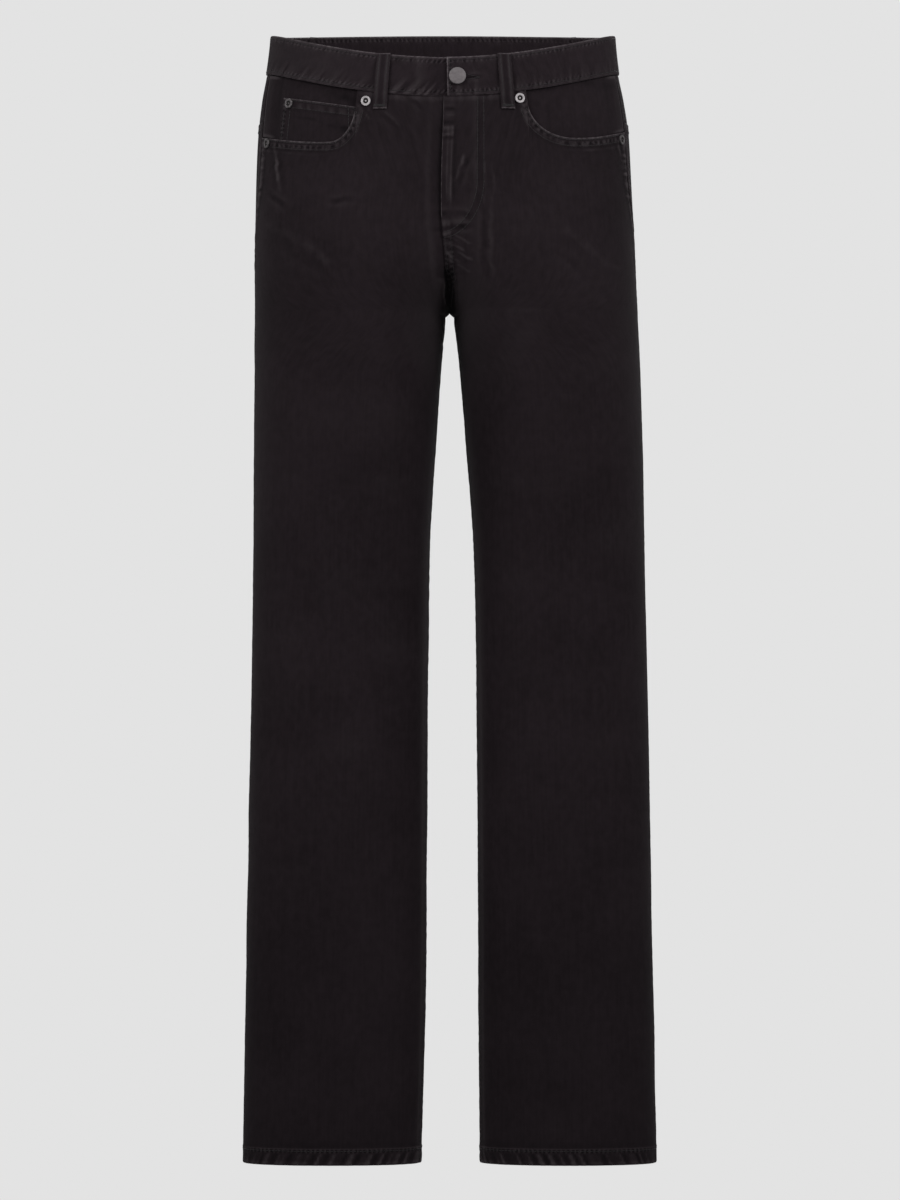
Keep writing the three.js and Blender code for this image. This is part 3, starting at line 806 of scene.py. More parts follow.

# %% [markdown]
# ## Front panels
# Each front panel runs from the outseam round to the middle of the jeans, and below the crotch
# on to the inseam. Its top corner is cut away in a curve for the pocket, and that edge is folded
# and topstitched. The left panel carries the fly: a second layer, which stands out as a raised
# strip with a rounded end, and whose edge leans a few millimetres over the right front. Where
# the legs meet, both panels fold backwards into a slot, darkened with painted shadow. Seams
# pull the cloth into small puckers, and sitting and walking leave creases at the crotch and at
# the hips. All of these are heights added to the form. They could be sculpted instead, but
# heights from functions stay exact and can be measured.

# %% Marks on the fronts
FLY_WIDTH = 36
FLY_PROUD = 1.3
FLY_EASE = 5
FLY_END = 205
FLY_ROUND_FROM = 150
FLY_OPEN_END = 188
HEM_TOP = HEM_END - HEM_HEIGHT
HEM_ROW = HEM_TOP + 2.2
HEM_PROUD = 0.4
HEM_THICKNESS = 2.8
UPPER_ROW = 150
FLY_ROWS = (33.5, 39.3)
FLY_LEAN = 5.5
RISE_ROWS = (207, 272)

# across and down where a crease starts, where it ends, its width and its height
FRONT_MARKS = [
    # the end of the fly and the crumpled cloth below it
    (23.5, 124, 15.5, 146, 1.9, -0.4), (19.7, 121, 10.8, 143, 1.5, 0.32),
    (3, 71.5, 9, 72, 1.5, -0.55), (3, 78, 8, 78, 1.2, 0.25), (3, 84.5, 9, 85, 1.4, -0.5),
    (2, 97, 10, 96.5, 1.1, 0.4), (3, 100.5, 8, 101, 1.3, -0.5),
    (0, 175, 21, 177, 2.6, -0.6), (0, 191, 20, 190, 2.6, -0.55), (2, 183, 22, 184, 2.2, 0.3),
    (33, 128, 33.5, 168, 1.3, 0.2), (41, 128, 42, 166, 1.4, 0.2), (49, 128, 50, 162, 1.3, 0.14),
    (42, 176, 42.5, 232, 4.2, -0.3), (47.5, 180, 48, 230, 3.2, 0.15),
    (3, 197, 13, 203, 1.3, 0.35), (8, 207, 20, 213, 1.3, 0.35), (14, 199, 26, 206, 1.3, 0.3),
    (5, 215, 15, 224, 1.4, 0.35), (17, 216, 28, 222, 1.3, 0.3), (12, 226, 24, 234, 1.3, 0.3),
    (1.6, 240, 2.2, 274, 1.2, 0.5),
    # the hips
    (-171, 158, -160.5, 167, 2.2, -0.45), (-108, 163, -90, 163, 2.5, -0.35),
    (-61, 79, -51, 86, 2.0, -0.35), (-34, 61, -23, 70, 1.8, -0.3), (-57, 77, -47, 84, 1.6, 0.2),
    (-168.5, 107, -166.5, 129, 1.7, 0.5), (-166.5, 129, -165.6, 143.5, 2.0, 0.5),
    (-165.6, 143.5, -165, 150, 2.0, 0.35), (-80, 75, -75, 83, 1.0, 0.35),
    (-80, 83, -75, 75, 1.0, 0.35), (87, 75, 92, 83, 1.0, 0.3), (92, 75, 87, 83, 1.0, 0.3),
    (175.5, 104, 177.5, 118, 1.1, 0.55), (177.5, 118, 179.6, 133, 1.1, 0.4),
    (-168, 190, -120, 220, 5.5, 0.2), (-160, 206, -124, 232, 5.0, -0.16),
    (126, 194, 166, 226, 5.5, 0.2), (124, 220, 160, 254, 5.2, -0.16),
]


# %% Outline of the fronts
FRONT_COLUMNS = 112
FRONT_ROWS = 412
FRONT_STOPS = ([52 / 412, 146 / 412, 396 / 412, 1], [UPPER_ROW, 300, 1106, HEM_END])


def leg_rows(v, top, stops):
    """Distances down of the rows, from a top edge that differs from column to column."""
    shares, downs = stops
    return np.where(v < shares[0], mix(top, downs[0], v / shares[0]), np.interp(v, *stops))


def front_angle(side, down, share):
    """The angle this share of the way from the side seam to the panel's inner edge."""
    shape = ring(side, down)
    return mix(shape.seam + HALF_GAP / shape.front, front_end(shape), share)


def closer_to_fly(u, down):
    """The columns of a front panel, moved closer together towards the fly."""
    return u + 0.12 * np.sin(np.pi * u) * (1 - ease(down, 280, 340))


def front_top(side, u):
    """The top edge of a front panel: the waistband's seam, then the mouth of the pocket."""
    down = np.full(u.shape, 100.0)
    for _ in range(12):
        angle = front_angle(side, down, closer_to_fly(u, down))
        down = mouth_down(side, across_at(ring(side, down), angle), angle)
    return down, angle


def mouth_line(side):
    """The mouth of the pocket as points on the face."""
    down, angle = front_top(side, np.linspace(0, 1, 900))
    line = face_point(side, angle, down)
    return line[side * line[:, 0] >= MOUTH[side][0]]


def across_lengths(base):
    """Millimetres of cloth to the outer and to the inner edge of a panel."""
    step = np.linalg.norm(np.diff(base, axis=1), axis=-1)
    from_outer = np.concatenate([np.zeros((len(base), 1)), np.cumsum(step, axis=1)], axis=1)
    return from_outer, from_outer[:, -1:] - from_outer


def quiet_at_crotch(from_inner, down):
    """Keeps the two legs' cloth together where its face turns inwards at the crotch seam."""
    near = ease(down, 215, 238) * (1 - ease(down, FORK_END + 2, FORK_END + 10))
    return 1 - near * (1 - ease(from_inner, 0, 7))


def hem_wall(down):
    """The share of the hem's thickness that the wall has: half of it above the turned-up end."""
    return 0.5 + 0.5 * ease(down, HEM_TOP - 1.5, HEM_TOP + 1.5)


# %% Relief of the fronts


def felled(distance, along, width, seed):
    """A seam with its edges folded in: a puckered ridge, sunk where the panels meet."""
    ridge = 0.45 * (1 - ease(distance, width - 1.5, width + 0.8))
    ridge = ridge + 0.22 * ripple(along, 3.4, seed) * peak(distance, width / 2, width * 0.8)
    return ridge - 0.5 * np.exp(-distance / 0.8) - 0.1 * peak(distance, width - 1.6, 0.8)


def hem_relief(base, down, seed):
    """The turned-up end of a leg, twisted into slanting ropes by its stitching."""
    band = ease(down, HEM_TOP - 1.2, HEM_TOP + 0.8)
    slant = cloth_lengths(base)[0] + (down - HEM_TOP) * 0.45
    roping = 0.4 * ripple(slant, 2.9, seed) * ease(down, HEM_TOP + 3, HEM_TOP + 7)
    groove = -0.1 * peak(down, HEM_ROW, 0.9) + 0.3 * peak(down, HEM_TOP + 0.2, 1.0)
    rounded = -0.7 * ease(down, HEM_END - 2.4, HEM_END) ** 2
    return 0.5 * HEM_PROUD * band + roping + groove + rounded


def mouth_relief(off, along, across, seed):
    """The folded edge of the pocket's mouth, flatter close to the fly, and its row of marks."""
    strength = mix(0.4, 1, ease(across, 92, 122))
    height = 0.5 * (1 - ease(off, 8.2, 9.8)) * mix(0.6, 1, strength)
    height = height - 0.12 * peak(off, 2.2, 0.7) - 0.14 * peak(off, 7.8, 0.9)
    height = height + 0.26 * strength * ripple(along, 2.6, seed) * peak(off, 7.0, 2.6)
    return height, (off - 5.6 + 3 * (1 - strength), along * 0.72)


def waist_relief(side, across, angle, down, seed):
    """The panel dips into the waistband's seam, and small puckers fade out below it."""
    below = np.where(across < MOUTH[side][0], down - waist_seam(angle), FAR)
    return 0.3 * ripple(across, 4.2, seed) * np.exp(-below / 6) - 0.5 * np.exp(-below)


def side_relief(from_outer, mouth_off, across, down, seed):
    """The felled seam down the side, with crumpled cloth beside the pocket."""
    height = felled(from_outer, down, 10, seed + 2) * (1 - 0.5 * ease(down, 200, 300))
    height = height + 0.34 * peak(mouth_off, 12, 2.2) * ease(across, 112, 128) * (
        0.6 + 0.6 * billow(across, down, 12, seed + 8))
    high = (1 - ease(down, 205, 250)) * ease(mouth_off, 4, 12)
    height = height + 0.2 * peak(from_outer, 4, 2.5) * high
    return height + 0.55 * ripple(down, 3.1, seed + 7) * peak(from_outer, 6.5, 5) * high


# %% The fly


def fly_proud(across, down):
    """How far the fly's second layer lifts the left front. Its end is round."""
    drop = np.clip((down - FLY_ROUND_FROM) / (FLY_END - FLY_ROUND_FROM), 0, 1)
    width = FLY_WIDTH * np.sqrt(1 - drop * drop)
    return FLY_PROUD * (1 - ease(across, width - FLY_EASE, width))


def fly_line(width):
    """The side, angles and distances down of a row of stitches that rounds the fly's end."""
    turn = np.linspace(0, np.pi / 2, 60)
    straight = np.linspace(float(waist_seam(np.pi / 2)) + 1, FLY_ROUND_FROM, 60)[:-1]
    down = np.concatenate([straight, FLY_ROUND_FROM + (width + 17) * np.sin(turn)])
    across = np.concatenate([np.full(59, width), np.maximum(width * np.cos(turn), 0.5)])
    return 1, angle_at(ring(1, down), across), down


def fly_relief(across, from_inner, down, seed):
    """The rubbed strip beside the fly's edge, and the felled crotch seam below the opening."""
    seam = ease(down, FLY_OPEN_END, FLY_OPEN_END + 6) * (1 - leg_part(down))
    strip = ease(down, 94, 100) * (1 - ease(down, 156, 180))
    strip = strip * (1 + 0.5 * billow(across, down, 14, seed + 9))
    height = felled(from_inner, down, 9.5, seed + 4) * seam
    height = height + 0.85 * strip * (1 - ease(across, 10.0, 11.6))
    return height + 0.22 * strip * (peak(across, 10.2, 1.0) + peak(across, 5.6, 1.1))


def leg_part(down):
    """0 above the crotch, 1 on the legs."""
    return ease(down, FORK_END - 4, FORK_END + 6)


def lean_at(down):
    """How far the fly's edge hangs over the right front, down to the crotch."""
    lower = 1 - 0.45 * ease(down, 190, 236) - 0.55 * ease(down, 236, 252)
    return FLY_LEAN * ease(down, 45, 185) * lower


def leaned(across, down):
    """Side, angle and signed place of a point this far from the fly's edge."""
    across = across - lean_at(down) * (1 - ease(across, 12, 60))
    side = np.where(across < 0, -1, 1)
    return side, angle_at(ring(side, down), np.maximum(np.abs(across), HALF_GAP)), across


# %% The fronts as a whole


def crotch_slot(side, across, down):
    """The backward fold where the legs meet, its painted shadow and the painted light beside it.
    """
    slot = 1 - ease(across, 3.2 + 0.8 * side, 5.4 + 0.8 * side)
    recess = 7 * slot * ease(down, 234, 242) * (1 - ease(down, 256, 273))
    # painted shadow in the slot between the legs
    shade = 1.8 * slot * ease(down, 233, 240) * (1 - ease(down, 277, 279))
    # painted light beside the slot, against the shade that the fold casts there
    painted_light_beside = 0.3 * (1 - ease(across, 10, 55)) * peak(down, 290, 60) * (1 - slot)
    return recess, shade, painted_light_beside


def inner_paleness(across, down):
    """Painted sheen on the inner side of a leg, and the pale line of its seam."""
    inwards = across - across.min(axis=1, keepdims=True)
    # painted sheen along the inner side of the leg
    wear_and_sheen = 0.26 * (1 - ease(inwards, 2, 11)) * ease(down, 300, 560)
    return wear_and_sheen + 0.3 * peak(inwards, 4.0, 1.3) * ease(down, 480, 700)


def front_place(side):
    seed = 10 if side > 0 else 20

    def place(u, v):
        down = leg_rows(v, front_top(side, u)[0], FRONT_STOPS)
        angle = front_angle(side, down, closer_to_fly(u, down))
        across = across_at(ring(side, down), angle)
        base = face_point(side, angle, down)
        from_outer, from_inner = across_lengths(base)

        upper = down[:, 0] < 190
        mouth_off, mouth_along = np.full(u.shape, FAR), np.zeros(u.shape)
        mouth_off[upper], mouth_along[upper] = nearest(base[upper], mouth_line(side))
        height, mouth_row = mouth_relief(mouth_off, mouth_along, across, seed)
        height = height + waist_relief(side, across, angle, down, seed + 1)
        height = height + side_relief(from_outer, mouth_off, across, down, seed)
        height = height + felled(from_inner, down, 8.5, seed + 3) * leg_part(down)

        side_row = np.where(down < 200, from_outer - 6, FAR)
        rows = [mouth_row, (side_row, down * 0.75), (down - HEM_ROW, cloth_lengths(base)[0])]
        on_leg = down > FORK_END + 4
        on_rise = (down > RISE_ROWS[0]) & (down < RISE_ROWS[1]) & (side > 0)
        for shift, along in ((2, down + 2), (8, down)):
            rows.append((np.where(on_leg, from_inner - shift, FAR), along))
        for shift, along in ((2, down), (8, down + 2)):
            rows.append((np.where(on_rise, from_inner - shift, FAR), along))

        fly = np.zeros(u.shape)
        on_side, on_angle, signed = np.full(u.shape, side), angle, across
        if side > 0:
            fly = fly_proud(across, down)
            height = height + fly + fly_relief(across, from_inner, down, seed)
            close = down[:, 0] < 230
            for width in FLY_ROWS:
                off, along = np.full(u.shape, FAR), np.zeros(u.shape)
                off[close], along[close] = nearest(base[close], face_point(*fly_line(width)))
                rows.append((off + 1.3, along + width))
            leaning = (lean_at(down) > 0.001) & (across < 60)
            moved = leaned(across, down)
            on_side = np.where(leaning, moved[0], 1)
            on_angle = np.where(leaning, moved[1], angle)
            signed = np.where(leaning, moved[2], across)
            base = face_point(on_side, on_angle, down)
        height = height + pressed(base, FRONT_MARKS) + hem_relief(base, down, seed + 5)
        height = height + 0.5 * billow(across, down, 55, seed + 6) * ease(from_inner, 4, 30)
        height = height * quiet_at_crotch(from_inner, down)

        recess, shade, painted_light_beside = crotch_slot(side, signed, down)
        # painted shade: darker towards the hems, where less light falls
        shade = shade + 0.26 * ease(down, 650, 1000)
        shade = shade - painted_light_beside - inner_paleness(across, down)
        if side < 0:
            # painted shadow on the right front, under the fly's edge
            beyond = np.maximum(across - lean_at(down), 0)
            beside_fly = ease(down, 60, 100) * (1 - ease(down, 186, 192))
            fly_edge_shadow = 0.5 * np.exp(-beyond / 1.6) + 0.4 * np.exp(-beyond / 5)
            shade = shade + fly_edge_shadow * beside_fly
            height = height - 1.2 * (1 - ease(beyond, 0, 15)) * ease(lean_at(down), 0, 2)

        fly_edge = across + 0.9 if side > 0 else FAR
        edge = np.minimum(mouth_off, np.where(down < FLY_OPEN_END, fly_edge, FAR))
        edge = np.minimum(edge, HEM_END - down + 0.6)
        return at_place(on_side, on_angle, down, height, edge, rows, hem_wall(down),
                        0.75 * fly, shade, recess)

    return place


# %% Add the fronts
fronts = {}
for side_name, side in (("left", 1), ("right", -1)):
    fronts[side] = cloth(
        f"front_{side_name}", FRONT_COLUMNS, FRONT_ROWS, front_place(side), DENIM,
        ["waistband", f"back_{side_name}"], HEM_THICKNESS)

# %% [markdown]
# ## Back panels and yokes
# The back panels are cut like the fronts, but fuller. They hang from a yoke, a shallow piece
# that is deepest at the centre back and gives the seat its shape without darts.

# %% Backs and yokes
BACK_COLUMNS = 84
BACK_ROWS = 330
BACK_STOPS = ([30 / 330, 90 / 330, 318 / 330, 1], [170, 300, 1106, HEM_END])
YOKE_LEVEL = 130.0


def back_angle(side, down, share):
    shape = ring(side, down)
    return mix(shape.seam - HALF_GAP / shape.back, -back_end(shape), share)


def yoke_angle(side, share):
    """The angles at which the yoke's two seams are drawn."""
    return back_angle(side, np.full(share.shape, YOKE_LEVEL), share)


def back_place(side):
    seed = 40 if side > 0 else 50

    def place(u, v):
        top = yoke_seam(u, yoke_angle(side, u)) + SEAM_GAP
        down = leg_rows(v, top, BACK_STOPS)
        angle = back_angle(side, down, u)
        base = face_point(side, angle, down)
        from_outer, from_inner = across_lengths(base)
        height = felled(from_outer, down, 7.5, seed) * (1 - 0.5 * ease(down, 200, 300))
        height = height * ease(down - top, 0, 30)
        height = height + felled(from_inner, down, 9, seed + 1)
        height = height + felled(down - top, from_outer, 8.5, seed + 2) * ease(from_outer, 0, 9)
        height = height + hem_relief(base, down, seed + 3)
        height = height * quiet_at_crotch(from_inner, down)
        calm = ease(down, 262, 320)
        height = height + 0.5 * billow(from_outer, down, 60, seed + 4) * calm
        rows = [(down - top - 2, from_outer), (down - top - 8, from_outer + 2)]
        rows.append((down - HEM_TOP - 2.2, from_outer))
        if side > 0:
            rows.append((np.where(down < 272, from_inner - 2, FAR), down))
            rows.append((np.where(down < 272, from_inner - 8, FAR), down + 2))
        edge = HEM_END - down + 0.6
        return at_place(side, angle, down, height, edge, rows, hem_wall(down))

    return place


def yoke_place(side):
    seed = 60 if side > 0 else 70

    def place(u, v):
        top = waist_seam(yoke_angle(side, u))
        foot = yoke_seam(u, yoke_angle(side, u))
        down = mix(top, foot, v)
        angle = back_angle(side, down, u)
        base = face_point(side, angle, down)
        from_outer, from_inner = across_lengths(base)
        height = felled(from_inner, down, 9, seed)
        height = height - 0.5 * np.exp(top - down) - 0.5 * np.exp((down - foot) / 0.8)
        height = height + 0.25 * ripple(from_outer, 4.2, seed + 1) * np.exp(-(down - top) / 6)
        rows = [(from_inner - 2, down), (from_inner - 8, down + 2)] if side > 0 else NO_ROWS
        return at_place(side, angle, down, height, FAR, rows)

    return place


backs, yokes = {}, {}
for side_name, side in (("left", 1), ("right", -1)):
    backs[side] = cloth(
        f"back_{side_name}", BACK_COLUMNS, BACK_ROWS, back_place(side), DENIM,
        [f"yoke_{side_name}", f"front_{side_name}"], HEM_THICKNESS)
    yokes[side] = cloth(f"yoke_{side_name}", 110, 34, yoke_place(side), DENIM, ["waistband"])

# %% [markdown]
# ## Waistband
# The waistband is one long strip, folded and sewn over the tops of the panels. It starts at the
# fly, goes round by the left side, and ends under its own start, where the button holds it.

# %% Waistband
BAND_PROUD = 1
BAND_THICKNESS = 2.6
TOP_END_DEGREES = 0.4
UNDERLAP_DEGREES = 12.5
UNDERLAP_EASE = 8
BAND_COLUMNS = 660
BAND_ROWS = 26


def round_waist(degrees):
    """A place round the waist, from the centre front by the left side. Past 360 is under."""
    side = np.where((degrees > 180) & (degrees <= 360), -1, 1)
    turn = np.where(degrees < 180, 90 - degrees, np.where(
        degrees <= 360, degrees - 270, 450 - degrees))
    return side, np.radians(turn)


def band_place(u, v):
    degrees = mix(TOP_END_DEGREES, 360 + UNDERLAP_DEGREES, u)
    side, angle = round_waist(degrees)
    drop = v * BAND_HEIGHT
    down = waist_top(angle) + drop
    base = face_point(side, angle, down)
    start, finish = across_lengths(base)
    height = BAND_PROUD - ease(degrees, 360 - UNDERLAP_EASE, 360) * (BAND_THICKNESS + SEAM_GAP)
    height = height - 0.5 * (1 - ease(drop, 0, 1.5)) - 0.3 * (1 - ease(start, 0, 1.2))
    low = BAND_HEIGHT - drop
    height = height - 0.4 * (1 - ease(low, 0, 1.2))
    height = height - 0.14 * (peak(drop, 3, 0.8) + peak(low, 3, 0.8) + peak(start, 3, 0.8))
    strong = 1 + peak(seen(base)[0], -30, 30) * (base[..., 1] < 0)
    height = height + 0.2 * strong * ripple(start, 3.5, 80) * ease(drop, 18, 34)
    height = height + 0.12 * ripple(start, 4.4, 81) * (1 - ease(drop, 2, 12))
    slit = (degrees < 30) * pressed(base, [(24, 40.5, 33, 40.4, 1.2, -0.5)])
    height = height + slit
    height = height + (degrees < 30) * pressed(base, [(2, 50, 2.5, 57, 1.3, 0.35)])
    edge = np.minimum(np.minimum(drop, low + 0.9), np.minimum(start, finish))
    rows = [(drop - 4.2, start), (low - 4.2, start + 2), (start - 3, drop)]
    # painted light: the front of the band is paler on the right side of the jeans
    pale = ease(-seen(base)[0], 60, 130) * (base[..., 1] < 0)
    return at_place(side, angle, down, height, edge + 0.2, rows, shade=-0.2 * pale)


waistband = cloth("waistband", BAND_COLUMNS, BAND_ROWS, band_place, SEAM_DENIM,
                  ["yoke_left", "yoke_right"], BAND_THICKNESS)

# %% [markdown]
# ## Layers under and over the panels
# A facing closes each front pocket from behind, and the small coin pocket is sewn on the right
# one. A shield lies behind the fly. On the back, two patch pockets narrow to a point. Each is
# a sheet of its own, a little in front of the cloth it is sewn to or behind it, because one
# mesh for all would lose the shadow line that shows where a layer ends.

# %% Facings, coin pocket and fly shield
FACING_DEPTH = {"left": 2.2, "right": 3.4}
FACING_END = 128
FACING_INNER_EDGE = 76
FACING_ABOVE_SEAM = 6
FACING_UNDER_BACK = 3.5


def facing_place(side, depth):
    def place(u, v):
        def angle_of(down):
            shape = ring(side, down)
            edge = angle_at(shape, FACING_INNER_EDGE)
            start = shape.seam - math.radians(FACING_UNDER_BACK)
            return mix(start, edge, 0.3 * u + 0.7 * u * u)

        top = waist_seam(angle_of(np.full(u.shape, float(BAND_HEIGHT)))) - FACING_ABOVE_SEAM
        down = mix(top, FACING_END, v)
        angle = angle_of(down)
        shape = ring(side, down)
        mouth = mouth_down(side, across_at(shape, angle), angle)
        ahead = (angle - shape.seam) * shape.front
        flush = ease(ahead, -0.1, 0.7) * (1 - ease(ahead, 4, 24))
        flush = flush * (1 - ease(down, mouth - 1.2, mouth + 0.3))
        flush = flush * ease(down - waist_seam(angle), -0.2, 0.8)
        height = mix(-depth, -0.3, flush) + 0.12 * billow(ahead, down, 24, 90)
        base = face_point(side, angle, down)
        # painted shadow under the inner corner of the right pocket's mouth, and painted shade
        # along two wrinkles on the left facing
        shade = pressed(base, [(-109, 56, -84, 66, 3.8, 1.0), (84, 52, 106, 50, 3, 0.5),
                               (146, 45, 168, 49, 3.5, 0.4)])
        return at_place(side, angle, down, height, FAR, NO_ROWS, shade=shade)

    return place


COIN_DEPTH = 1.8
COIN_THICKNESS = 1.1
COIN_INNER, COIN_OUTER = 87, 160
COIN_INNER_TOP, COIN_OUTER_TOP, COIN_END = 77, 65, 124
COIN_SPREAD = 0.13  # how far a millimetre further down is further out


def coin_outer(down):
    return COIN_OUTER + COIN_SPREAD * (down - COIN_OUTER_TOP)


def coin_place(u, v):
    top = mix(COIN_INNER_TOP, COIN_OUTER_TOP, u)
    down = mix(top, COIN_END, v)
    angle = angle_at(ring(-1, down), mix(COIN_INNER, coin_outer(down), u))
    inner = (coin_outer(down) - COIN_INNER) * u
    outer = (coin_outer(down) - COIN_INNER) * (1 - u)
    drop = down - top
    height = -COIN_DEPTH + 0.25 * (1 - ease(drop, 9.2, 10.4)) - 0.12 * peak(drop, 2, 0.8)
    height = height + 0.2 * ripple(inner, 2.8, 91) * peak(drop, 7, 3)
    height = height - 0.12 * peak(inner, 2, 0.7) - 0.1 * peak(inner, 8, 0.7)
    edge = np.minimum(np.minimum(drop, inner), outer + 1.2)
    rows = [(inner - 2, down), (outer - 2, down)]
    base = face_point(-1, angle, down)
    # painted shadow in the coin pocket's mouth and in a line across it
    shade = pressed(base, [(-104, 90, -96, 96, 3.2, 0.9), (-148, 80, -98, 91, 1.3, 0.5)])
    return at_place(-1, angle, down, height, edge + 0.3, rows, shade=shade)


SHIELD_FROM, SHIELD_TO = -4, 39
SHIELD_DEPTH = 3
SHIELD_END = 190
SHIELD_GAP = 0.6


def shield_place(u, v):
    across = mix(SHIELD_FROM, SHIELD_TO, u)
    side = np.where(across < 0, -1, 1)
    start = waist_seam(np.pi / 2) + SHIELD_GAP
    down = mix(start, SHIELD_END, v)
    angle = angle_at(ring(side, down), np.abs(across))
    return at_place(side, angle, down, -float(SHIELD_DEPTH), FAR, NO_ROWS)


for side_name, side in (("left", 1), ("right", -1)):
    cloth(f"pocket_facing_{side_name}", 70, 80, facing_place(side, FACING_DEPTH[side_name]),
          DENIM, [f"front_{side_name}", f"back_{side_name}"])
coin_pocket = cloth("coin_pocket", 56, 44, coin_place, DENIM, ["pocket_facing_right"],
                    COIN_THICKNESS)
cloth("fly_shield", 20, 60, shield_place, DENIM, ["front_left"])

# %% Back pockets
POCKET_TOP, POCKET_SIDE, POCKET_POINT = 122, 238, 260
POCKET_INNER_TOP, POCKET_OUTER_TOP = 25, 147
POCKET_INNER_END, POCKET_OUTER_END = 33, 140
POCKET_OUTER_FACE = 2.2


def back_pocket_place(side):
    def place(u, v):
        point = POCKET_POINT - (POCKET_POINT - POCKET_SIDE) * np.abs(2 * u - 1)
        down = mix(POCKET_TOP, point, v)
        sink = (down - POCKET_TOP) / (POCKET_SIDE - POCKET_TOP)
        first = mix(POCKET_INNER_TOP, POCKET_INNER_END, sink)
        last = mix(POCKET_OUTER_TOP, POCKET_OUTER_END, sink)
        angle = -angle_at(ring(side, down), mix(first, last, u))
        sides = np.minimum(u, 1 - u) * (last - first)
        edge = np.minimum(np.minimum(sides, point - down), down - POCKET_TOP)
        sewn = np.minimum(sides, point - down)
        height = POCKET_OUTER_FACE - 0.55 * (1 - ease(sewn, 0, 5)) - 0.1 * peak(sewn, 2, 0.7)
        height = height - 0.12 * peak(down, POCKET_TOP + 12, 0.9)
        height = height + 0.12 * ripple(first + u * 110, 3.2, 95) * peak(down, POCKET_TOP + 9, 4)
        rows = [(sewn - 2, first + u * 110 + down), (sewn - 8, first + u * 110 + down + 2),
                (down - POCKET_TOP - 12, u * 110)]
        return at_place(side, angle, down, height, edge, rows)

    return place


back_pockets = {}
for side_name, side in (("left", 1), ("right", -1)):
    back_pockets[side] = cloth(
        f"back_pocket_{side_name}", 80, 80, back_pocket_place(side), DENIM,
        [f"back_{side_name}"])

# %% [markdown]
# ## Belt loops
# Five loops stand over the waistband, sewn down at both ends. The edges of each are folded in,
# so that they show as two raised ribs.

# %% Belt loops
LOOP_WIDTH = 13
LOOP_THICKNESS = 1.9
LOOP_BELOW = 16.2
LOOP_LIFT = 1.3
LAYER_GAP = 0.45
LOOP_PLACES = {
    "front_left": 19.4, "back_left": 134, "back_centre": 180, "back_right": 226,
    "front_right": 341,
}
LOOP_LEAN = {"front_left": 0.2, "front_right": -0.7}  # degrees that the foot is behind the top


def loop_top(degrees):
    """The distance down to the loop's top, and the degrees that a millimetre takes there."""
    top = float(waist_top(round_waist(np.array(degrees))[1]))
    beside = face_point(*round_waist(degrees + np.array([-2.0, 2.0])), np.full(2, top))
    return top, 4 / float(np.linalg.norm(beside[1] - beside[0]))


def loop_place(degrees, lean):
    top, millimetre = loop_top(degrees)
    foot = top + BAND_HEIGHT + LOOP_BELOW
    half = LOOP_WIDTH / 2 * millimetre

    def place(u, v):
        down = mix(top, foot, v)
        side, angle = round_waist(degrees + (v - 0.5) * lean + mix(-half, half, u))
        over = 1 - ease(down, foot - LOOP_BELOW + SEAM_GAP, foot - LOOP_BELOW / 3)
        lift = LOOP_LIFT * np.sin(np.pi * np.minimum(1, v * 1.2)) ** 2
        height = LAYER_GAP + BAND_PROUD * over + lift + LOOP_THICKNESS
        sides = np.minimum(u, 1 - u) * LOOP_WIDTH
        height = height + 0.3 * peak(sides, 2.9, 1.5) - 0.35 * (1 - ease(sides, 0, 1.2))
        height = height - 0.18 * peak(sides, 6.5, 2.2)
        height = height - 0.35 * (1 - ease(foot - down, 0, 1.2)) + 0.2 * peak(foot - down, 3, 1)
        edge = np.minimum(np.minimum(sides + 0.9, foot - down), down - top)
        return at_place(side, angle, down, height, edge + 0.4, NO_ROWS)

    return place


loops = {}
for loop_name, degrees in LOOP_PLACES.items():
    loops[loop_name] = cloth(
        f"belt_loop_{loop_name}", 14, 52, loop_place(degrees, LOOP_LEAN.get(loop_name, 0)),
        SEAM_DENIM, ["waistband"], LOOP_THICKNESS)

# %% [markdown]
# ## Button and rivets
# The caps are turned metal: a cylinder whose top is inset and pushed in, ring by ring. A bevel
# rounds the corners, so that the edge catches the light.

# %% Turned caps


def turned_cap(name, radius, height, rings, round_edge):
    """A cap on the origin, with its top face inset by each ring and moved up or down."""
    bpy.ops.object.select_all(action="DESELECT")
    bpy.ops.mesh.primitive_cylinder_add(
        vertices=48, radius=radius * MM, depth=height * MM, location=(0, 0, height * MM / 2))
    cap = bpy.context.object
    cap.name = cap.data.name = name
    bpy.ops.object.transform_apply(location=True)
    for polygon in cap.data.polygons:
        polygon.select = polygon.normal.z > 0.9
    bpy.ops.object.mode_set(mode="EDIT")
    bpy.context.tool_settings.mesh_select_mode = (False, False, True)
    for inset, shift in rings:
        bpy.ops.mesh.inset(thickness=inset * MM)
        bpy.ops.transform.translate(value=(0, 0, shift * MM))
    bpy.ops.object.mode_set(mode="OBJECT")
    bevel = cap.modifiers.new("edges", "BEVEL")
    bevel.width = round_edge * MM
    bevel.segments = 3
    bevel.limit_method = "ANGLE"
    bevel.angle_limit = math.radians(35)
    bpy.ops.object.modifier_apply(modifier="edges")
    bpy.ops.object.shade_smooth_by_angle(angle=math.radians(40))
    return cap


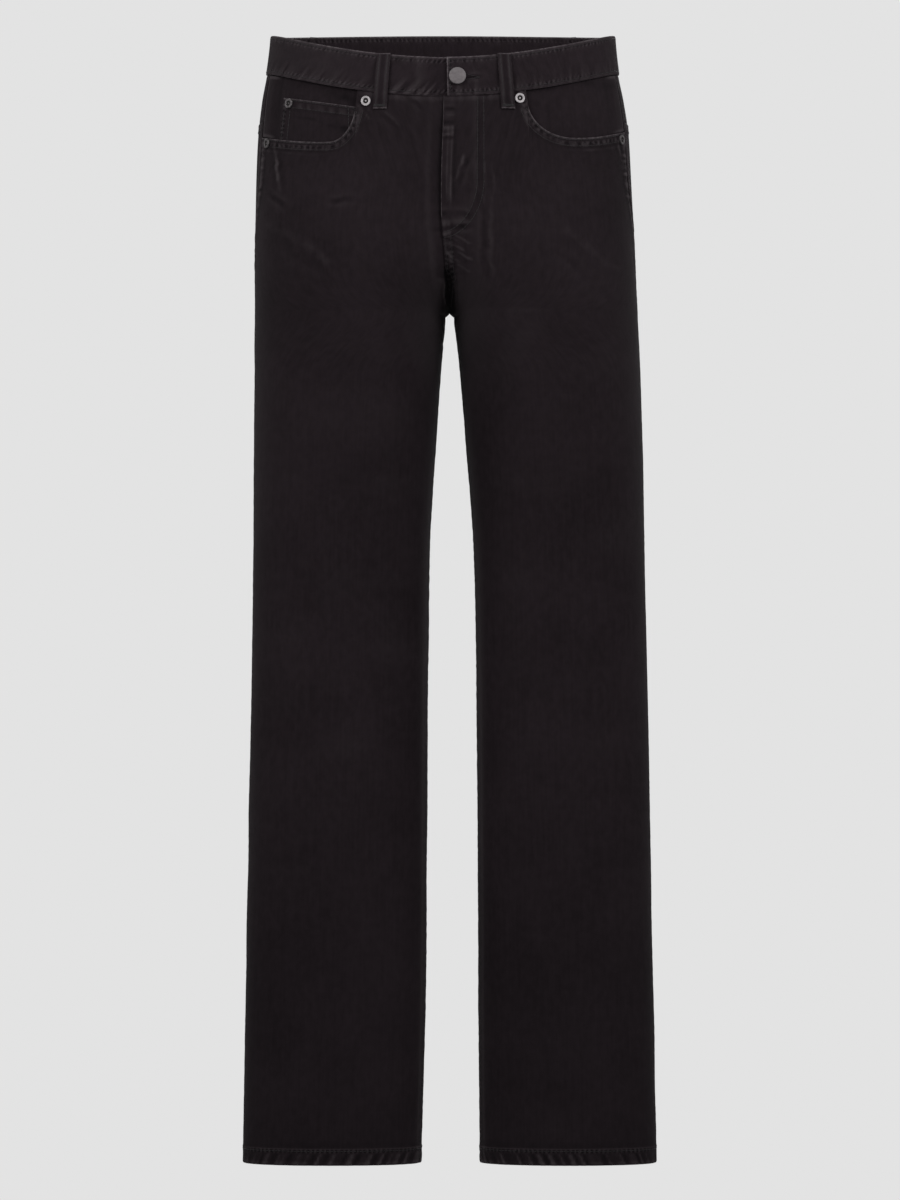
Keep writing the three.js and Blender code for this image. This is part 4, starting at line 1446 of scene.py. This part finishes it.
def seat(cap, name, side, angle, down, height, materials):
    normal = Vector(face_normal(np.array(side), np.array(angle), np.array(down)))
    cap.rotation_mode = "QUATERNION"
    cap.rotation_quaternion = Vector((0, 0, 1)).rotation_difference(normal)
    cap.location = Vector(lifted(side, angle, down, float(height)) * MM)
    bpy.ops.object.select_all(action="DESELECT")
    cap.select_set(True)
    bpy.context.view_layer.objects.active = cap
    bpy.ops.object.transform_apply(location=True, rotation=True)
    for finish in materials:
        cap.data.materials.append(finish)
    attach(cap, "root")
    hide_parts(name)
    print(f"{name}: {len(cap.data.polygons)} faces")


# %% Waist button
BUTTON_RADIUS, BUTTON_HEIGHT = 8.4, 3.2
BUTTON_ACROSS = 13.6
BUTTON_RINGS = [(1.1, 0), (0.4, -0.3), (6.2, 0.05)]  # how far in and how far up
BUTTON_EDGE = 0.5

button_down = float(waist_top(np.pi / 2)) + BAND_HEIGHT / 2
button_angle = float(angle_at(ring(1, button_down), BUTTON_ACROSS))
button = turned_cap("waist_button", BUTTON_RADIUS, BUTTON_HEIGHT, BUTTON_RINGS, BUTTON_EDGE)
seat(button, "waist_button", 1, button_angle, button_down, BAND_PROUD + LAYER_GAP, [PEWTER])

# %% Rivets
RIVET_RADIUS, RIVET_HEIGHT = 4.9, 1.7
RIVET_RINGS = [(0.5, 0), (1.7, 0), (0.25, -0.9), (1.5, 0), (0.15, 0.5)]
RIVET_EDGE = 0.25
RIVET_WELL, RIVET_NUB = 2.62, 0.97
RIVET_INNER = {"left": (74.5, 68.9), "right": (76.8, 71.7)}  # across and down
RIVET_OUTER = {"left": (5.6, 105.6), "right": (7.2, 109.3)}  # degrees ahead, and down
COIN_RIVET_INSET = 6

coin_down = COIN_OUTER_TOP + COIN_RIVET_INSET
coin_angle = angle_at(ring(-1, coin_down), COIN_OUTER - COIN_RIVET_INSET)
rivets = {"rivet_coin": (-1, coin_angle, coin_down, LAYER_GAP - COIN_DEPTH + 0.25)}
for side_name, side in (("left", 1), ("right", -1)):
    across, down = RIVET_INNER[side_name]
    inner = angle_at(ring(side, down), across)
    rivets[f"rivet_inner_{side_name}"] = (side, inner, down, LAYER_GAP)
    ahead, down = RIVET_OUTER[side_name]
    outer = ring(side, down).seam + math.radians(ahead)
    rivets[f"rivet_outer_{side_name}"] = (side, outer, down, LAYER_GAP)
for rivet_name, (side, angle, down, height) in rivets.items():
    rivet = turned_cap(rivet_name, RIVET_RADIUS, RIVET_HEIGHT, RIVET_RINGS, RIVET_EDGE)
    for polygon in rivet.data.polygons:
        from_middle = math.hypot(*polygon.center.xy) / MM
        in_well = RIVET_NUB < from_middle < RIVET_WELL and polygon.center.z > 0.1 * MM
        polygon.material_index = 1 if in_well else 0
    finish = NICKEL if "inner" in rivet_name else DARK_NICKEL
    seat(rivet, rivet_name, side, float(angle), float(down), height, [finish, TARNISH])

# %% [markdown]
# ## Stitches
# Each row of topstitching is one small thread repeated by an Array modifier and bent along the
# cloth by a Curve modifier. The curve is found by casting rays at the finished cloth, so that
# the thread follows every pucker. All rows of one area are joined into one piece.

# %% Sewing
STITCH_PITCH = 3.3
STITCH_LENGTH = 2.7
STITCH_RADIUS = 0.28
CAST_FROM = 14.0
DOUBLE_ROW = (2, 8)


def on_cloth(target, points, normals, lift):
    """The places where lines straight into the jeans first meet this piece of cloth."""
    found = []
    for point, normal in zip(points, normals):
        start = Vector((point + normal * CAST_FROM) * MM)
        hit, place, _, _ = target.ray_cast(start, Vector(-normal), distance=2.5 * CAST_FROM * MM)
        if hit:
            found.append(np.array(place) + normal * lift * MM)
    return np.array(found)


def resampled(line, step):
    """The same line with points at even distances."""
    along = np.concatenate([[0], np.cumsum(np.linalg.norm(np.diff(line, axis=0), axis=-1))])
    at = np.linspace(0, along[-1], max(3, int(along[-1] / step) + 1))
    return np.stack([np.interp(at, along, line[:, k]) for k in range(line.shape[1])], axis=-1)


def stitch_row(target, side, angle, down, offset=0.0, pitch=STITCH_PITCH,
               length=STITCH_LENGTH, radius=STITCH_RADIUS):
    """One row along a line on the jeans' face, or this far to its left, walking along it."""
    side, angle, down = np.broadcast_arrays(side, angle, down)
    line = np.concatenate([face_point(side, angle, down), face_normal(side, angle, down)], -1)
    line = resampled(line, 1.6)
    points, normals = line[:, :3], line[:, 3:]
    normals = normals / np.linalg.norm(normals, axis=-1, keepdims=True)
    tangent = np.gradient(points, axis=0)
    tangent = tangent / np.linalg.norm(tangent, axis=-1, keepdims=True)
    path = on_cloth(target, points + np.cross(normals, tangent) * offset, normals, radius / 2)
    if len(path) < 3:
        return None
    bpy.ops.object.select_all(action="DESELECT")
    bpy.ops.curve.primitive_nurbs_path_add(location=(0, 0, 0))
    guide = bpy.context.object
    guide.data.splines.clear()
    spline = guide.data.splines.new("POLY")
    spline.points.add(len(path) - 1)
    spline.points.foreach_set("co", np.c_[path, np.ones(len(path))].ravel())
    total = np.linalg.norm(np.diff(path, axis=0), axis=-1).sum()
    bpy.ops.object.select_all(action="DESELECT")
    bpy.ops.mesh.primitive_cylinder_add(
        vertices=6, radius=radius * MM, depth=length * MM, rotation=(0, math.pi / 2, 0),
        location=(length * MM / 2, 0, 0))
    thread = bpy.context.object
    bpy.ops.object.transform_apply(location=True, rotation=True)
    copies = thread.modifiers.new("copies", "ARRAY")
    copies.use_relative_offset = False
    copies.use_constant_offset = True
    copies.constant_offset_displace = (pitch * MM, 0, 0)
    copies.count = max(1, int(total / (pitch * MM)))
    bend = thread.modifiers.new("bend", "CURVE")
    bend.object = guide
    bpy.ops.object.modifier_apply(modifier="copies")
    bpy.ops.object.modifier_apply(modifier="bend")
    bpy.data.objects.remove(guide)
    return thread


def joined(name, rows):
    """Joins the rows of one area into a single piece."""
    rows = [row for row in rows if row]
    bpy.ops.object.select_all(action="DESELECT")
    for row in rows:
        row.select_set(True)
    bpy.context.view_layer.objects.active = rows[0]
    bpy.ops.object.join()
    piece = bpy.context.object
    piece.name = piece.data.name = name
    piece.data.materials.clear()
    piece.data.materials.append(THREAD)
    bpy.ops.object.shade_smooth_by_angle(angle=math.radians(65))
    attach(piece, "root")
    print(f"{name}: {len(rows)} rows, {len(piece.data.polygons)} faces")
    return piece


def panel_edge(side, share, start, finish, edge_angle):
    """A line down the edge of a panel."""
    down = np.linspace(start, finish, int((finish - start) / 4) + 4)
    return side, edge_angle(side, down, np.full(down.shape, float(share))), down


def hem_stitches(panel, side, edge_angle):
    """The row of stitches that holds one panel's hem."""
    down = np.full(90, HEM_ROW)
    return stitch_row(panel, side, edge_angle(side, down, np.linspace(0.01, 0.99, 90)), down)


# %% Rows on the fronts
bpy.context.view_layer.update()
for side, side_name in ((1, "left"), (-1, "right")):
    front = fronts[side]
    mouth_u = np.linspace(0.02, 1, 400)
    mouth, mouth_angle = front_top(side, mouth_u)
    kept = across_at(ring(side, mouth), mouth_angle) > MOUTH[side][0] + 0.5
    line = (side, mouth_angle[kept], mouth[kept])
    rows = [stitch_row(front, *line, offset=side * shift) for shift in DOUBLE_ROW]
    outseam = panel_edge(side, 0, 113, 190, front_angle)
    rows += [stitch_row(front, *outseam, offset=side * shift) for shift in (2.2, 8)]
    inseam = panel_edge(side, 1, FORK_END + 6, HEM_TOP - 2, front_angle)
    rows += [stitch_row(front, *inseam, offset=-side * shift) for shift in DOUBLE_ROW]
    rows.append(hem_stitches(front, side, front_angle))
    if side > 0:
        for width in FLY_ROWS:
            _, angle, down = fly_line(width)
            lean_side, lean_angle, _ = leaned(across_at(ring(1, down), angle), down)
            rows.append(stitch_row(front, lean_side, lean_angle, down))
        down = np.linspace(*RISE_ROWS, 30)
        for shift in DOUBLE_ROW:
            lean_side, lean_angle, _ = leaned(np.full(30, float(shift)), down)
            rows.append(stitch_row(front, lean_side, lean_angle, down))
    joined(f"stitches_front_{side_name}", rows)

# %% Rows on the back
for side, side_name in ((1, "left"), (-1, "right")):
    back = backs[side]
    share = np.linspace(0.02, 0.99, 160)
    seam = yoke_seam(share, yoke_angle(side, share)) + SEAM_GAP
    seam_angle = back_angle(side, seam, share)
    rows = [stitch_row(back, side, seam_angle, seam, offset=-side * shift)
            for shift in DOUBLE_ROW]
    rows.append(hem_stitches(back, side, back_angle))
    if side > 0:
        rise = panel_edge(1, 1, 120, 272, back_angle)
        rows += [stitch_row(back, *rise, offset=shift) for shift in DOUBLE_ROW]
        yoke_rise = panel_edge(1, 1, 32, 104, back_angle)
        rows += [stitch_row(yokes[1], *yoke_rise, offset=shift) for shift in DOUBLE_ROW]
    turn = np.linspace(0, 1, 60)
    sides = mix(POCKET_TOP + 3, POCKET_SIDE, turn)
    sink = (sides - POCKET_TOP) / (POCKET_SIDE - POCKET_TOP)
    inner = mix(POCKET_INNER_TOP, POCKET_INNER_END, sink)
    outer = mix(POCKET_OUTER_TOP, POCKET_OUTER_END, sink)
    foot = mix(POCKET_SIDE, POCKET_POINT, 1 - np.abs(2 * turn - 1))
    low = mix(POCKET_INNER_END, POCKET_OUTER_END, turn)
    across = np.concatenate([inner, low[1:-1], outer[::-1]])
    down = np.concatenate([sides, foot[1:-1], sides[::-1]])
    angle = -angle_at(ring(side, down), across)
    rows += [stitch_row(back_pockets[side], side, angle, down, offset=side * shift)
             for shift in DOUBLE_ROW]
    across = np.linspace(POCKET_INNER_TOP + 2, POCKET_OUTER_TOP - 2, 80)
    down = np.full(80, POCKET_TOP + 12.0)
    rows.append(stitch_row(back_pockets[side], side, -angle_at(ring(side, down), across), down))
    joined(f"stitches_back_{side_name}", rows)

# %% Rows on the coin pocket and the belt loops
share = np.linspace(0.03, 0.97, 60)
coin_top = mix(COIN_INNER_TOP, COIN_OUTER_TOP, share)
coin_across = mix(COIN_INNER, coin_outer(coin_top), share)
rows = [stitch_row(coin_pocket, -1, angle_at(ring(-1, coin_top + drop), coin_across),
                   coin_top + drop) for drop in (2, 9)]
down = np.linspace(COIN_INNER_TOP + 1, COIN_END - 2, 40)
for edge, inwards in ((COIN_INNER, 1), (coin_outer(down), -1)):
    rows += [stitch_row(coin_pocket, -1, angle_at(ring(-1, down), edge + inwards * shift), down)
             for shift in DOUBLE_ROW]
joined("stitches_coin_pocket", rows)

rows = []
for loop_name, degrees in LOOP_PLACES.items():
    top, millimetre = loop_top(degrees)
    down = np.linspace(top + 1, top + BAND_HEIGHT + LOOP_BELOW - 1, 40)
    turn = degrees + LOOP_LEAN.get(loop_name, 0) * np.linspace(-0.5, 0.5, 40)
    for shift in (-3.9, 3.9):
        side, angle = round_waist(turn + shift * millimetre)
        rows.append(stitch_row(loops[loop_name], side, angle, down))
    bar_down = np.full(14, down[-1] - 2.0)
    bar_turn = turn[-1] + np.linspace(-5.4, 5.4, 14) * millimetre
    side, angle = round_waist(bar_turn)
    for shift in (-0.8, 0, 0.8):
        rows.append(stitch_row(loops[loop_name], side, angle, bar_down + shift, 0, 1.1, 1.5, 0.4))
joined("stitches_belt_loops", rows)

# %% Rows on the waistband
band_degrees = np.linspace(1.2, 351, 700)
band_side, band_angle = round_waist(band_degrees)
band_top = waist_top(band_angle)
hole = angle_at(ring(1, 48.0), np.linspace(21.5, 35.6, 30))
hole_edge = np.linspace(0, 1, 30)
joined("stitches_waistband", [
    stitch_row(waistband, 1, hole, mix(45.6, 48.5, hole_edge), 0, 0.9, 1.3, 0.33),
    stitch_row(waistband, 1, hole, mix(50.9, 48.9, hole_edge), 0, 0.9, 1.3, 0.33),
    stitch_row(waistband, band_side, band_angle, band_top + 3),
    stitch_row(waistband, band_side, band_angle, band_top + BAND_HEIGHT - 3),
    stitch_row(waistband, 1, np.full(40, round_waist(np.array(1.35))[1]), np.linspace(
        FRONT_DIP + 3, FRONT_DIP + BAND_HEIGHT - 3, 40)),
])

# %% The box of the finished scene
low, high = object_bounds()
